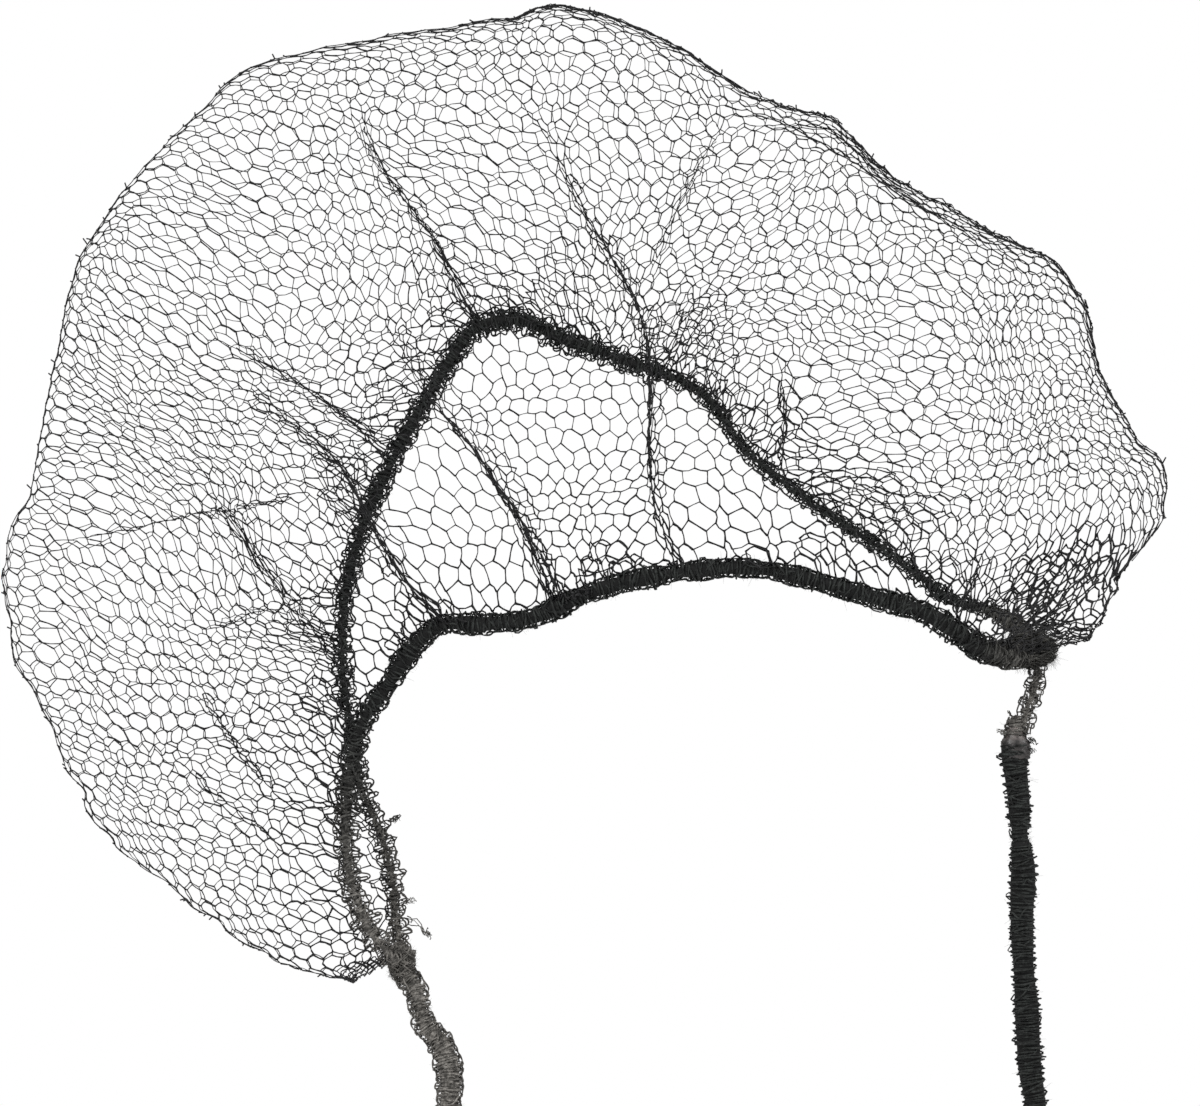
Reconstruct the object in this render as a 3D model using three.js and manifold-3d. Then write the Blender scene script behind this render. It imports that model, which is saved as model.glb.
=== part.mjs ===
// Disposable beard net: a shallow pouch of honeycomb netting, edged with knitted elastic,
// with one elastic head strap that leaves the two corners of the mouth. The netting is two walls,
// front and back, that meet along the pouch's outermost line.
// Millimetres, +Z up, +X to the wearer's right hand side of the pouch, -Y towards the front.
// The origin is the middle of the mouth, where the wearer's chin goes in.
import * as THREE from 'three';
import { mergeVertices } from 'three/addons/utils/BufferGeometryUtils.js';
import Module from 'manifold-3d';

const wasm = await Module();
wasm.setup();

// ---- driving sizes ----
const GAP = 0.3; // between pieces that meet
const NET_WALL = 1; // the netting as a plain cloth wall
const EDGE_BAND = 4; // thickness of the elastic edging round the mouth
const STRAP = 4.2; // thickness of the elastic head strap
const TAIL = 2.4; // thickness of the open knitted tail above the splice
const NET_STEPS = { along: 64, out: 10 }; // facets along the mouth, and from an edge to the outermost line
const BAND_STEPS = { front: 44, back: 56 };
const BAND_SIDES = 10;
const STRAP_STEPS = 64;
const STRAP_SIDES = 10;
const LUMP_FACETS = { round: 14, high: 10 };

// ---- the pouch, section by section, from the left corner of the mouth to the right ----
// Each row: the mouth's front edge, the outermost line of the pouch and the mouth's back edge,
// each as [x, y, z], then how far the front and the back wall swell beyond a plain ellipse
// (negative where the netting is drawn flat between two stretched points).
const SECTIONS = [
  { front: [-39.5, -4, -53.6], outer: [-46, 0, -57.8], back: [-38.2, 4, -54.2], swell: [0, 0] },
  { front: [-43, -6, -49.2], outer: [-59, 0, -54], back: [-39.1, 6, -50], swell: [-1, -1] },
  { front: [-45.7, -8, -41.9], outer: [-72, 1, -45.5], back: [-39.8, 8, -42.9], swell: [-2, -2] },
  { front: [-46.6, -10, -33.9], outer: [-85, 1, -35.5], back: [-41.8, 9, -34.4], swell: [-3, -2] },
  { front: [-46.4, -11, -27.5], outer: [-92.5, 0, -23], back: [-44.6, 10, -28.4], swell: [-2, -2] },
  { front: [-45.5, -13, -20.7], outer: [-99, -1, -5.5], back: [-46.6, 11, -18.8], swell: [1, 1] },
  { front: [-43.4, -14, -15.3], outer: [-101.7, -1, 9.4], back: [-48.1, 12, -7.9], swell: [-1, 0] },
  { front: [-39.8, -15, -10], outer: [-97, -1, 25.3], back: [-47.8, 13, 3.1], swell: [-3, -2] },
  { front: [-36.3, -16, -5], outer: [-93, -2, 43], back: [-45.1, 14, 14.5], swell: [-2, -2] },
  { front: [-31.5, -17, -0.6], outer: [-88, -2, 60], back: [-39.7, 14, 26.6], swell: [1.5, 1] },
  { front: [-24.4, -18, -0.4], outer: [-76.6, -2, 75.4], back: [-33.2, 14, 38], swell: [-3, -2] },
  { front: [-16.6, -18, 0.7], outer: [-64.3, -1, 87.3], back: [-27.5, 14, 46.5], swell: [1.5, 1] },
  { front: [-8.7, -19, 4.3], outer: [-47.2, 0, 92.2], back: [-23, 14, 48.4], swell: [-3, -1] },
  { front: [-0.9, -19, 6.5], outer: [-29.4, 0, 95.2], back: [-18.6, 14, 48.4], swell: [-3, -1] },
  { front: [7.7, -20, 7.9], outer: [-13.4, 0, 98.7], back: [-13.5, 14, 46], swell: [1.5, 1] },
  { front: [16.3, -20, 8.4], outer: [6.4, 0, 92], back: [-2.3, 15, 42], swell: [-2, -2] },
  { front: [24.9, -20, 7], outer: [25, 0, 82.4], back: [9.9, 15, 36.9], swell: [-4, -3] },
  { front: [32.7, -21, 4.8], outer: [39.5, -2, 73.6], back: [17.2, 15, 27.5], swell: [-4, -3] },
  { front: [38.9, -22, 3.1], outer: [53.3, -5, 63.4], back: [26.1, 15, 20.2], swell: [-3, -3] },
  { front: [44.2, -24, 1.4], outer: [68, -9, 54.3], back: [34.2, 14, 14.8], swell: [-2, -2] },
  { front: [48, -24, -0.8], outer: [73.6, -14, 36.4], back: [42.2, 11, 9.3], swell: [0, 0] },
  { front: [52.1, -21, -3.6], outer: [82.3, -18, 19.8], back: [49.8, 6, 3.6], swell: [2, 1] },
  { front: [56.2, -17, -5.2], outer: [76.6, -15, 8], back: [56.6, 1, 1.2], swell: [0, 0] },
  { front: [59.5, -12, -5.6], outer: [71, -10, -3], back: [61, -5, -1.8], swell: [0, 0] },
];

// ---- pleats, where slack netting is gathered into a crease that runs out from the mouth ----
// wall: which side of the pouch it is on; root and end: the section where it starts at the mouth
// and where it fades, reach: how far it runs (1 is the outermost line), lift: how proud it stands,
// width: in sections.
const PLEATS = [
  { wall: 'front', root: 9.4, end: 9.1, reach: 0.6, lift: 1.6, width: 0.45 },
  { wall: 'front', root: 11.8, end: 11.4, reach: 0.65, lift: 1.6, width: 0.4 },
  { wall: 'front', root: 15.2, end: 14.4, reach: 0.9, lift: 1.8, width: 0.4 },
  { wall: 'front', root: 21, end: 21.2, reach: 0.35, lift: 1.2, width: 0.4 },
  { wall: 'back', root: 6.5, end: 5.6, reach: 0.8, lift: 1.4, width: 0.4 },
  { wall: 'back', root: 17.4, end: 17.9, reach: 0.7, lift: 1.5, width: 0.4 },
];

// ---- the corner lumps and the splice: centre and half sizes of each ellipsoid ----
const LEFT_JOIN = { at: [-38.1, 0, -54.9], half: [2.7, 3.3, 4] };
const RIGHT_KNOT = { at: [61.7, -9, -4.6], half: [4.9, 3.6, 3.4] };
const SPLICE = { at: [59.4, -11.4, -18.9], half: [2.5, 2.4, 4.2] };

// ---- the routes of the tail and of the strap, each point as [x, y, z] ----
const TAIL_ROUTE = [
  [62.8, -9.6, -6], [62.7, -10, -9], [62.2, -10.4, -11.4], [61.2, -10.8, -13.4],
  [60.8, -11, -15.5], [60.2, -11.2, -18],
];
const STRAP_ROUTE = [
  [-37.6, -0.4, -56.6], [-35.7, -1.6, -59.2], [-35.2, -2, -62.2], [-34, -2.6, -65],
  [-31.8, -3.2, -67.4], [-30.6, -3.7, -70.7], [-30.3, -4, -74.2], [-30.5, -4.2, -77.6],
  [-30.4, -4.4, -83], [-29.8, -4.7, -92], [-28.2, -5, -104], [-24.6, -5.4, -118],
  [-18.2, -5.9, -131], [-8.6, -6.5, -142], [3.6, -7.3, -149.4], [16.4, -8.1, -151.8],
  [29.2, -8.9, -149], [41, -9.7, -141.4], [50, -10.4, -130], [55.8, -11, -117],
  [59.6, -11.5, -103], [61.6, -11.8, -91], [62.4, -12, -82], [62.4, -12, -76.6],
  [61.5, -12, -70.9], [61.2, -12, -66.2], [60.9, -12, -60.3], [60.4, -12, -53.5],
  [60.2, -12, -46.4], [60.4, -12, -39.3], [59.9, -12, -33.8], [59.7, -12, -28.3],
  [59.1, -11.9, -22.7], [58.9, -11.8, -19.5],
];

// ---- materials ----
function cloth(color, roughness) {
  return new THREE.MeshStandardMaterial({ color, roughness, metalness: 0 });
}
const netNylon = cloth(0x1b1b1c, 0.5);
const knittedElastic = cloth(0x161718, 0.85);
const paleElastic = cloth(0x2b2a28, 0.85);

// ---- solids ----
// A three.js geometry as a manifold solid: only positions are kept, so that shared corners merge.
function solid(geometry) {
  const bare = geometry.clone();
  bare.deleteAttribute('normal');
  bare.deleteAttribute('uv');
  const merged = mergeVertices(bare, 1e-4);
  const mesh = new wasm.Mesh({
    numProp: 3,
    vertProperties: new Float32Array(merged.attributes.position.array),
    triVerts: new Uint32Array(merged.index.array),
  });
  return new wasm.Manifold(mesh);
}

// The largest body of a manifold solid, back as a three.js geometry.
function geometryOf(manifold) {
  const bodies = manifold.decompose();
  bodies.sort((a, b) => b.volume() - a.volume());
  const mesh = bodies[0].getMesh();
  const geometry = new THREE.BufferGeometry();
  geometry.setAttribute('position', new THREE.BufferAttribute(mesh.vertProperties, 3));
  geometry.setIndex(new THREE.BufferAttribute(mesh.triVerts, 1));
  geometry.computeVertexNormals();
  return geometry;
}

// A piece with clearance cut from it wherever one of its neighbours lies.
function clearOf(geometry, ...neighbours) {
  let body = solid(geometry);
  for (const neighbour of neighbours) body = body.subtract(solid(neighbour));
  return geometryOf(body);
}

function vectors(points) {
  return points.map((p) => new THREE.Vector3(...p));
}

// A round tube along a curve.
function tube(curve, diameter, steps, sides) {
  const section = new THREE.Shape();
  for (let i = 0; i < sides; i += 1) {
    const angle = (2 * Math.PI * i) / sides;
    const x = (diameter / 2) * Math.cos(angle);
    const y = (diameter / 2) * Math.sin(angle);
    if (i === 0) section.moveTo(x, y);
    else section.lineTo(x, y);
  }
  section.closePath();
  return new THREE.ExtrudeGeometry(section, { steps, extrudePath: curve });
}

// An ellipsoid, grown on every side by some clearance.
function lump({ at, half }, clearance = 0) {
  const ball = new THREE.SphereGeometry(1, LUMP_FACETS.round, LUMP_FACETS.high);
  ball.scale(...half.map((size) => size + clearance));
  ball.translate(...at);
  return ball;
}

// ---- the pouch's surface ----
const frontEdge = new THREE.CatmullRomCurve3(vectors(SECTIONS.map((s) => s.front)), false, 'catmullrom');
const outerLine = new THREE.CatmullRomCurve3(vectors(SECTIONS.map((s) => s.outer)), false, 'catmullrom');
const backEdge = new THREE.CatmullRomCurve3(vectors(SECTIONS.map((s) => s.back)), false, 'catmullrom');
const swells = new THREE.CatmullRomCurve3(vectors(SECTIONS.map((s) => [...s.swell, 0])), false, 'catmullrom');

// How far the pleats lift a wall at u along the mouth and out (0 at the mouth, 1 at the outer line).
function pleatLift(wall, u, out) {
  const section = u * (SECTIONS.length - 1);
  let lift = 0;
  for (const pleat of PLEATS) {
    if (pleat.wall !== wall || out >= pleat.reach) continue;
    const along = out / pleat.reach;
    const centre = pleat.root + (pleat.end - pleat.root) * along;
    const offset = (section - centre) / pleat.width;
    lift += pleat.lift * (1 - along ** 2) * Math.exp(-(offset ** 2));
  }
  return lift;
}

// A point of the pouch. u runs along the mouth from corner to corner, and v from the front edge (0)
// over the outer line (0.5) to the back edge (1). Each half of a section is a quarter ellipse
// between the edge and the outer line, plus its swell and its pleats.
function pouchPoint(u, v) {
  const isFront = v <= 0.5;
  const angle = isFront ? Math.PI * v : Math.PI * (1 - v);
  const edge = (isFront ? frontEdge : backEdge).getPoint(u);
  const outer = outerLine.getPoint(u);
  const swell = swells.getPoint(u);
  const out = Math.sin(angle);
  const deep = Math.cos(angle);
  const lift = pleatLift(isFront ? 'front' : 'back', u, out);
  const proud = (isFront ? swell.x : swell.y) * Math.sin(2 * angle) + lift;
  return new THREE.Vector3(
    edge.x + (outer.x - edge.x) * out,
    outer.y + (edge.y - outer.y) * deep + (isFront ? -proud : proud),
    edge.z + (outer.z - edge.z) * out,
  );
}

// The pouch's outward direction at a point, from small steps along u and v.
function pouchNormal(u, v) {
  const step = 0.002;
  const alongU = pouchPoint(Math.min(u + step, 1), v).sub(pouchPoint(Math.max(u - step, 0), v));
  const alongV = pouchPoint(u, Math.min(v + step, 1)).sub(pouchPoint(u, Math.max(v - step, 0)));
  return alongV.cross(alongU).normalize();
}

// How much of v, on each side of the outermost line, the gap between the two walls takes.
function seamShare(u) {
  const step = 0.002;
  const pace = pouchPoint(u, 0.5 - step).distanceTo(pouchPoint(u, 0.5 + step)) / (2 * step);
  return GAP / 2 / pace;
}

// One side of the pouch, 'front' or 'back', as a closed wall: an outer skin, an inner skin and a
// strip along each free edge. The two sides meet along the outermost line.
function pouchWall(side, thickness, { along, out }) {
  const positions = [];
  for (const skin of [0.5, -0.5]) {
    for (let i = 0; i <= along; i += 1) {
      for (let j = 0; j <= out; j += 1) {
        const u = i / along;
        const reach = (0.5 - seamShare(u)) * (j / out);
        const v = side === 'front' ? reach : 0.5 + seamShare(u) + reach;
        const point = pouchPoint(u, v).addScaledVector(pouchNormal(u, v), skin * thickness);
        positions.push(point.x, point.y, point.z);
      }
    }
  }
  const layer = (along + 1) * (out + 1);
  const at = (i, j, inner) => inner * layer + i * (out + 1) + j;
  const faces = [];
  const quad = (a, b, c, d) => faces.push(a, b, c, a, c, d);
  for (let i = 0; i < along; i += 1) {
    for (let j = 0; j < out; j += 1) {
      quad(at(i, j, 0), at(i, j + 1, 0), at(i + 1, j + 1, 0), at(i + 1, j, 0));
      quad(at(i, j, 1), at(i + 1, j, 1), at(i + 1, j + 1, 1), at(i, j + 1, 1));
    }
    quad(at(i, 0, 0), at(i + 1, 0, 0), at(i + 1, 0, 1), at(i, 0, 1));
    quad(at(i, out, 0), at(i, out, 1), at(i + 1, out, 1), at(i + 1, out, 0));
  }
  for (let j = 0; j < out; j += 1) {
    quad(at(0, j, 0), at(0, j, 1), at(0, j + 1, 1), at(0, j + 1, 0));
    quad(at(along, j, 0), at(along, j + 1, 0), at(along, j + 1, 1), at(along, j, 1));
  }
  const geometry = new THREE.BufferGeometry();
  geometry.setAttribute('position', new THREE.BufferAttribute(new Float32Array(positions), 3));
  geometry.setIndex(faces);
  return geometry;
}

// ---- the edging ----
// One half of the mouth's elastic edging runs from the left join along an edge into the right knot.
function edgingRoute(edge) {
  const samples = 40;
  return new THREE.CatmullRomCurve3([
    new THREE.Vector3(...LEFT_JOIN.at),
    ...edge.getPoints(samples),
    new THREE.Vector3(...RIGHT_KNOT.at),
  ]);
}
const frontRoute = edgingRoute(frontEdge);
const backRoute = edgingRoute(backEdge);

function edging(route, steps, clearance = 0) {
  return tube(route, EDGE_BAND + 2 * clearance, steps, BAND_SIDES);
}

// ---- the pieces ----
const group = new THREE.Group();

function add(name, geometry, material) {
  const mesh = new THREE.Mesh(geometry, material);
  mesh.name = name;
  group.add(mesh);
}

for (const side of ['front', 'back']) {
  add(`netting_${side}`, clearOf(
    pouchWall(side, NET_WALL, NET_STEPS),
    edging(frontRoute, BAND_STEPS.front, GAP),
    edging(backRoute, BAND_STEPS.back, GAP),
    lump(LEFT_JOIN, GAP),
    lump(RIGHT_KNOT, GAP),
  ), netNylon);
}

add('front_edge_band', clearOf(
  edging(frontRoute, BAND_STEPS.front),
  lump(LEFT_JOIN, GAP),
  lump(RIGHT_KNOT, GAP),
), knittedElastic);

add('back_edge_band', clearOf(
  edging(backRoute, BAND_STEPS.back),
  lump(LEFT_JOIN, GAP),
  lump(RIGHT_KNOT, GAP),
), knittedElastic);

add('left_corner_join', lump(LEFT_JOIN), knittedElastic);
add('right_corner_knot', lump(RIGHT_KNOT), knittedElastic);

add('strap_tail', clearOf(
  tube(new THREE.CatmullRomCurve3(vectors(TAIL_ROUTE)), TAIL, 8, 8),
  lump(RIGHT_KNOT, GAP),
  lump(SPLICE, GAP),
), knittedElastic);

add('strap_splice', lump(SPLICE), knittedElastic);

add('head_strap', clearOf(
  tube(new THREE.CatmullRomCurve3(vectors(STRAP_ROUTE)), STRAP, STRAP_STEPS, STRAP_SIDES),
  lump(LEFT_JOIN, GAP),
  lump(SPLICE, GAP),
), paleElastic);

export default group;
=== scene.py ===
# %% [markdown]
# # A disposable beard net
# A shallow pouch of honeycomb netting, edged round its mouth with knitted elastic, and held on by
# one elastic head strap that leaves the two corners of the mouth. Almost everything on it is
# thread. This lesson builds each thread as a tube round a path that numpy works out in one go.
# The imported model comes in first: it fixes every size, and each new piece stands for one of its
# plain solids.

# %% Load the frame
import math

import bpy
import mathutils
import numpy as np
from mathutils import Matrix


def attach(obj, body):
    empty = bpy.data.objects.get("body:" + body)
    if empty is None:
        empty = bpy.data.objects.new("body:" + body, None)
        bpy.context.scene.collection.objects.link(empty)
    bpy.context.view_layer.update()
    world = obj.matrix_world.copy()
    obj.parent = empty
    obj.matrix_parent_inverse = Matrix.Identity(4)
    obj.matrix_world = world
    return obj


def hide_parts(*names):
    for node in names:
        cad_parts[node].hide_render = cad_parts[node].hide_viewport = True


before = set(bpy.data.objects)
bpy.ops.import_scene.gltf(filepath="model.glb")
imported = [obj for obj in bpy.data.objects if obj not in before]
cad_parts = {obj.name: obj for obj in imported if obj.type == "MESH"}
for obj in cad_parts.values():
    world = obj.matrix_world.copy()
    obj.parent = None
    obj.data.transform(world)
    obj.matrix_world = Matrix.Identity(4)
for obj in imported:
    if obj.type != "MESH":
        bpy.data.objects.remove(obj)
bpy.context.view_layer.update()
MM = 0.001
print("frame loaded:", sorted(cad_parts))

# %% [markdown]
# The camera is level and looks straight at the front of the pouch from nine tenths of a metre.
# The focal length follows from how wide a strip the view should take in at that distance.

# %% Camera
CAMERA_DISTANCE = 0.9
VIEW_WIDTH = 0.192
VIEW_MIDDLE = (-0.0064, 0.0, 0.01072)
SENSOR = 36.0


def make_camera():
    """A level camera looking along +Y, whose lens is sensor width * distance / view width."""
    data = bpy.data.cameras.new("camera")
    data.sensor_width = SENSOR
    data.lens = SENSOR * CAMERA_DISTANCE / VIEW_WIDTH
    data.clip_start = 0.05
    camera = bpy.data.objects.new("camera", data)
    camera.location = (VIEW_MIDDLE[0], -CAMERA_DISTANCE, VIEW_MIDDLE[2])
    camera.rotation_euler = (math.radians(90), 0, 0)
    bpy.context.scene.collection.objects.link(camera)
    bpy.context.scene.camera = camera


make_camera()
print("camera at", tuple(bpy.context.scene.camera.location))

# %% [markdown]
# A few small tools carry the whole lesson. `catmull_rom` draws a smooth curve through a few points.
# `evenly` walks along it in equal steps, and `rows_at` and `value_at` read something part of the
# way along. `frames` finds, at every step, the direction of travel and two directions across it, so
# that a profile can be carried along.


# %% Curves and frames
def unit(v):
    """Each vector divided by its own length."""
    return v / np.maximum(np.linalg.norm(v, axis=-1, keepdims=True), 1e-12)


def catmull_rom(points, u):
    """The smooth curve through the rows of points, for u from 0 to 1. Between rows b and c, with a
    before and d after: 1/2 (2b + (c-a)t + (2a-5b+4c-d)t^2 + (3b-3c+d-a)t^3)."""
    points = np.asarray(points, float)
    last = len(points) - 1
    rows = np.vstack([2 * points[0] - points[1], points, 2 * points[-1] - points[-2]])
    place = np.clip(np.asarray(u, float) * last, 0, last - 1e-9)
    i = place.astype(int)
    t = (place - i)[..., None]
    a, b, c, d = (rows[i + k] for k in range(4))
    square = (2 * a - 5 * b + 4 * c - d) * t**2
    cube = (3 * b - 3 * c + d - a) * t**3
    return 0.5 * (2 * b + (c - a) * t + square + cube)


def run_of(path):
    """The distance walked along a path up to each of its points."""
    steps = np.linalg.norm(np.diff(path, axis=0), axis=1)
    return np.concatenate([[0.0], np.cumsum(steps)])


def rows_at(s, run, rows):
    """Rows that are known at each value of run, read at the values s."""
    return np.stack([np.interp(s, run, column) for column in rows.T], axis=-1)


def value_at(s, path, value):
    """A value that a path has at each point, or one for all of it, read at run s."""
    return np.interp(s, run_of(path), np.broadcast_to(value, len(path)))


def evenly(path, step):
    """The same path with its points about one step apart."""
    run = run_of(path)
    return rows_at(np.linspace(0, run[-1], max(3, round(run[-1] / step) + 1)), run, path)


def frames(paths):
    """(along, across, over) at each point of each path. along is the slope of the path, across is
    the cross product of +Y (or +X, where the path runs near Y) with it, and over completes them."""
    along = unit(np.gradient(paths, axis=-2))
    mean = np.abs(unit(along.mean(axis=-2, keepdims=True)))
    steep = mean[..., 1:2] > 0.8
    reference = np.where(steep, np.array([1.0, 0, 0]), np.array([0, 1.0, 0]))
    across = unit(np.cross(np.broadcast_to(reference, along.shape), along))
    return along, across, np.cross(along, across)


print("a unit step:", unit(np.array([3.0, 0.0, 4.0])))

# %% [markdown]
# A tube is a stack of rings, closed at both ends by a single point. All the tubes of one kind are
# made together: their points form one array of (tube, ring, corner), and the faces follow from
# the numbering alone. A shell is a tuple (points, quads, triangles, and one number at each point
# that paints light on the yarn: 0 is painted shade in the grooves and 1 painted light on the crests),
# which the materials read later. They also read a painted backlight glare, which lightens the black
# yarn to a warm grey in places, most of all down the left corner where the elastic is slack and
# its knitting opens.


# %% Rings to shells
def shell_of(rings, first, last, painted_light=0.0):
    """Closed tubes from rings (tube, ring, corner, xyz) and the end points first and last of each
    tube. Corners run anticlockwise about the direction of travel, so faces point outwards."""
    tubes, count, sides = rings.shape[:3]
    size = count * sides + 2
    points = np.concatenate([rings.reshape(tubes, -1, 3), first[:, None], last[:, None]], axis=1)
    corner = np.arange(sides)
    following = (corner + 1) % sides
    ring = np.arange(count - 1)[:, None] * sides
    walls = [ring + corner, ring + following, ring + sides + following, ring + sides + corner]
    quads = np.stack(walls, axis=-1).reshape(-1, 4)
    end = (count - 1) * sides
    front_cap = np.stack([np.full(sides, size - 2), following, corner], axis=-1)
    back_cap = np.stack([np.full(sides, size - 1), end + corner, end + following], axis=-1)
    caps = np.concatenate([front_cap, back_cap])
    base = np.arange(tubes)[:, None, None] * size
    crests = np.broadcast_to(np.asarray(painted_light, float), (tubes,)).repeat(size)
    return points.reshape(-1, 3), (quads + base).reshape(-1, 4), (caps + base).reshape(-1, 3), crests


def threads(paths, radius, sides=4, painted_light=0.0, squash=1.0):
    """Round tubes along paths (tube, ring, xyz): centre + radius (cos a across + sin a over). Each
    ends in a point where its path ends, and its first and last rings stand a little inside."""
    along, across, over = frames(paths)
    radius = np.broadcast_to(np.asarray(radius, float), paths.shape[:-1])[..., None, None]
    turn = np.linspace(0, 2 * np.pi, sides, endpoint=False)[:, None]
    rim = np.cos(turn) * across[..., None, :] + squash * np.sin(turn) * over[..., None, :]
    rings = paths[..., None, :] + radius * rim
    inset = 0.7 * radius[:, 0, 0]
    return shell_of(rings, paths[:, 0] - along[:, 0] * inset, paths[:, -1] + along[:, -1] * inset, painted_light)


def merged(*shells):
    """Several shells as one, with the face numbers of each moved past the points before it."""
    offsets = np.cumsum([0] + [len(s[0]) for s in shells[:-1]])
    points = np.concatenate([s[0] for s in shells])
    quads = np.concatenate([s[1] + o for s, o in zip(shells, offsets)])
    triangles = np.concatenate([s[2] + o for s, o in zip(shells, offsets)])
    return points, quads, triangles, np.concatenate([s[3] for s in shells])


def ramp(x, start, stop):
    """0 before start, 1 past stop, and smooth between them: 3 t^2 - 2 t^3."""
    t = np.clip((x - start) / (stop - start), 0, 1)
    return t * t * (3 - 2 * t)


def glare_paleness(points):
    """Painted backlight glare on the elastic at each point, which lightens the black yarn to a warm grey:
    it rises to 1 down the left corner and the first part of the strap, fades along the strap's
    bottom, and stands at 0.8 round the open tail and at 0.35 round the knot above it."""
    x, _, z = points.T
    left = ramp(-z, 0.012, 0.062) * ramp(-z, 0.13, 0.1) * ramp(-x, -0.02, 0.0)
    tail = 0.8 * ramp(x, 0.05, 0.056) * ramp(-z, 0.007, 0.011) * ramp(-z, 0.0192, 0.0172)
    knot = 0.35 * ramp(x, 0.052, 0.058) * ramp(-z, -0.004, 0.0) * ramp(-z, 0.01, 0.008)
    return left + tail + knot


def new_piece(name, shell):
    """A smooth-shaded object at the origin whose mesh is the shell, with the shell's number for painted
    shade and light, and the painted backlight glare, as attributes.
    """
    points, quads, triangles, painted_light = shell
    mesh = bpy.data.meshes.new(name)
    mesh.vertices.add(len(points))
    mesh.vertices.foreach_set("co", points.astype(np.float32).ravel())
    corners = np.concatenate([quads.ravel(), triangles.ravel()])
    mesh.loops.add(len(corners))
    mesh.loops.foreach_set("vertex_index", corners.astype(np.int32))
    sizes = np.concatenate([np.full(len(quads), 4), np.full(len(triangles), 3)])
    mesh.polygons.add(len(sizes))
    mesh.polygons.foreach_set("loop_start", (np.cumsum(sizes) - sizes).astype(np.int32))
    mesh.update(calc_edges=True)
    mesh.polygons.foreach_set("use_smooth", np.ones(len(sizes), bool))
    # Two numbers for the yarn's painted light: shade in the grooves and light on the crests, then backlight
    # glare.
    for label, values in (("painted_light", painted_light), ("pale", glare_paleness(points))):
        mesh.attributes.new(label, "FLOAT", "POINT").data.foreach_set("value", values.astype(np.float32))
    piece = bpy.data.objects.new(name, mesh)
    bpy.context.scene.collection.objects.link(piece)
    print(f"{name}: {2 * len(quads) + len(triangles)} triangles")
    return piece


# %% [markdown]
# ## Knitted elastic
# Up close, the elastic is a core of rubber under wound yarn, with a lace of loops along both of its
# edges and a haze of loose fibres. A ribbed tube with a bump texture could pass for it from afar,
# but its edge would be a clean line. Here every yarn is a thread of its own, so the toothed edge
# and the pinholes of the real thing come by themselves.


# %% The core and the yarn wound round it
def wander(s, seed, length, count=5):
    """A smooth random wave of about unit size: the sum of count sines of s, of wavelengths near
    length, with seeded phases."""
    rng = np.random.default_rng(seed)
    waves = length * rng.uniform(0.6, 1.7, count)
    phases = rng.uniform(0, 2 * np.pi, count)
    parts = [np.sin(2 * np.pi * s / wave + phase) for wave, phase in zip(waves, phases)]
    return sum(parts) / math.sqrt(count / 2)


def beside(path, s, across, over):
    """Points at run s along path, moved across and over it. All three are arrays of one shape."""
    run = run_of(path)
    _, side, up = frames(path[None])
    side, up = unit(rows_at(s, run, side[0])), unit(rows_at(s, run, up[0]))
    return rows_at(s, run, path) + across[..., None] * side + over[..., None] * up


def rubber_core(path, half_width, half_depth, sides=12):
    """A plain tube of elliptical section along path: half_width cos a across, half_depth sin a over.
    It fills the gaps between the yarns. It is painted groove shade, black, where there is no
    painted backlight glare, and as pale as the yarn where that glare is painted."""
    turn = np.linspace(0, 2 * np.pi, sides, endpoint=False)
    _, across, over = frames(path[None])
    wide = (np.broadcast_to(half_width, len(path))[:, None] * np.cos(turn))[..., None]
    thick = (np.broadcast_to(half_depth, len(path))[:, None] * np.sin(turn))[..., None]
    rings = path[:, None] + wide * across[0][:, None] + thick * over[0][:, None]
    points, quads, triangles, _ = shell_of(rings[None], path[None, 0], path[None, -1])
    return points, quads, triangles, 0.8 * glare_paleness(points)


def wound(path, half_width, half_depth, pitch, yarn, seed, hand=1, loose=0.12):
    """A yarn wound round a core. At run s it is at the angle a = hand 2 pi s / pitch, at half_width
    cos a across and half_depth sin a over. Three wanders, of the size loose, slide the turns along,
    let some stand proud and vary the yarn's thickness."""
    length = run_of(path)[-1]
    s = np.linspace(0.2 * pitch, length - 0.2 * pitch, int(9 * length / pitch))
    turn = hand * 2 * np.pi * s / pitch + 4 * loose * wander(s, seed, 3.1 * pitch)
    proud = 1 + 0.6 * loose * wander(s, seed + 1, 1.7 * pitch)
    wide, thick = (value_at(s, path, half) * proud for half in (half_width, half_depth))
    along = np.clip(s + loose * pitch * wander(s, seed + 2, 0.9 * pitch), 0, length)
    paths = beside(path, along, wide * np.cos(turn), thick * np.sin(turn))
    radius = yarn * (1 + 0.15 * wander(s, seed + 3, 1.3 * pitch))
    # The wound yarn carries 0.75 of the painted light on the crests.
    return threads(paths[None], radius[None], painted_light=0.75)


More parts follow.
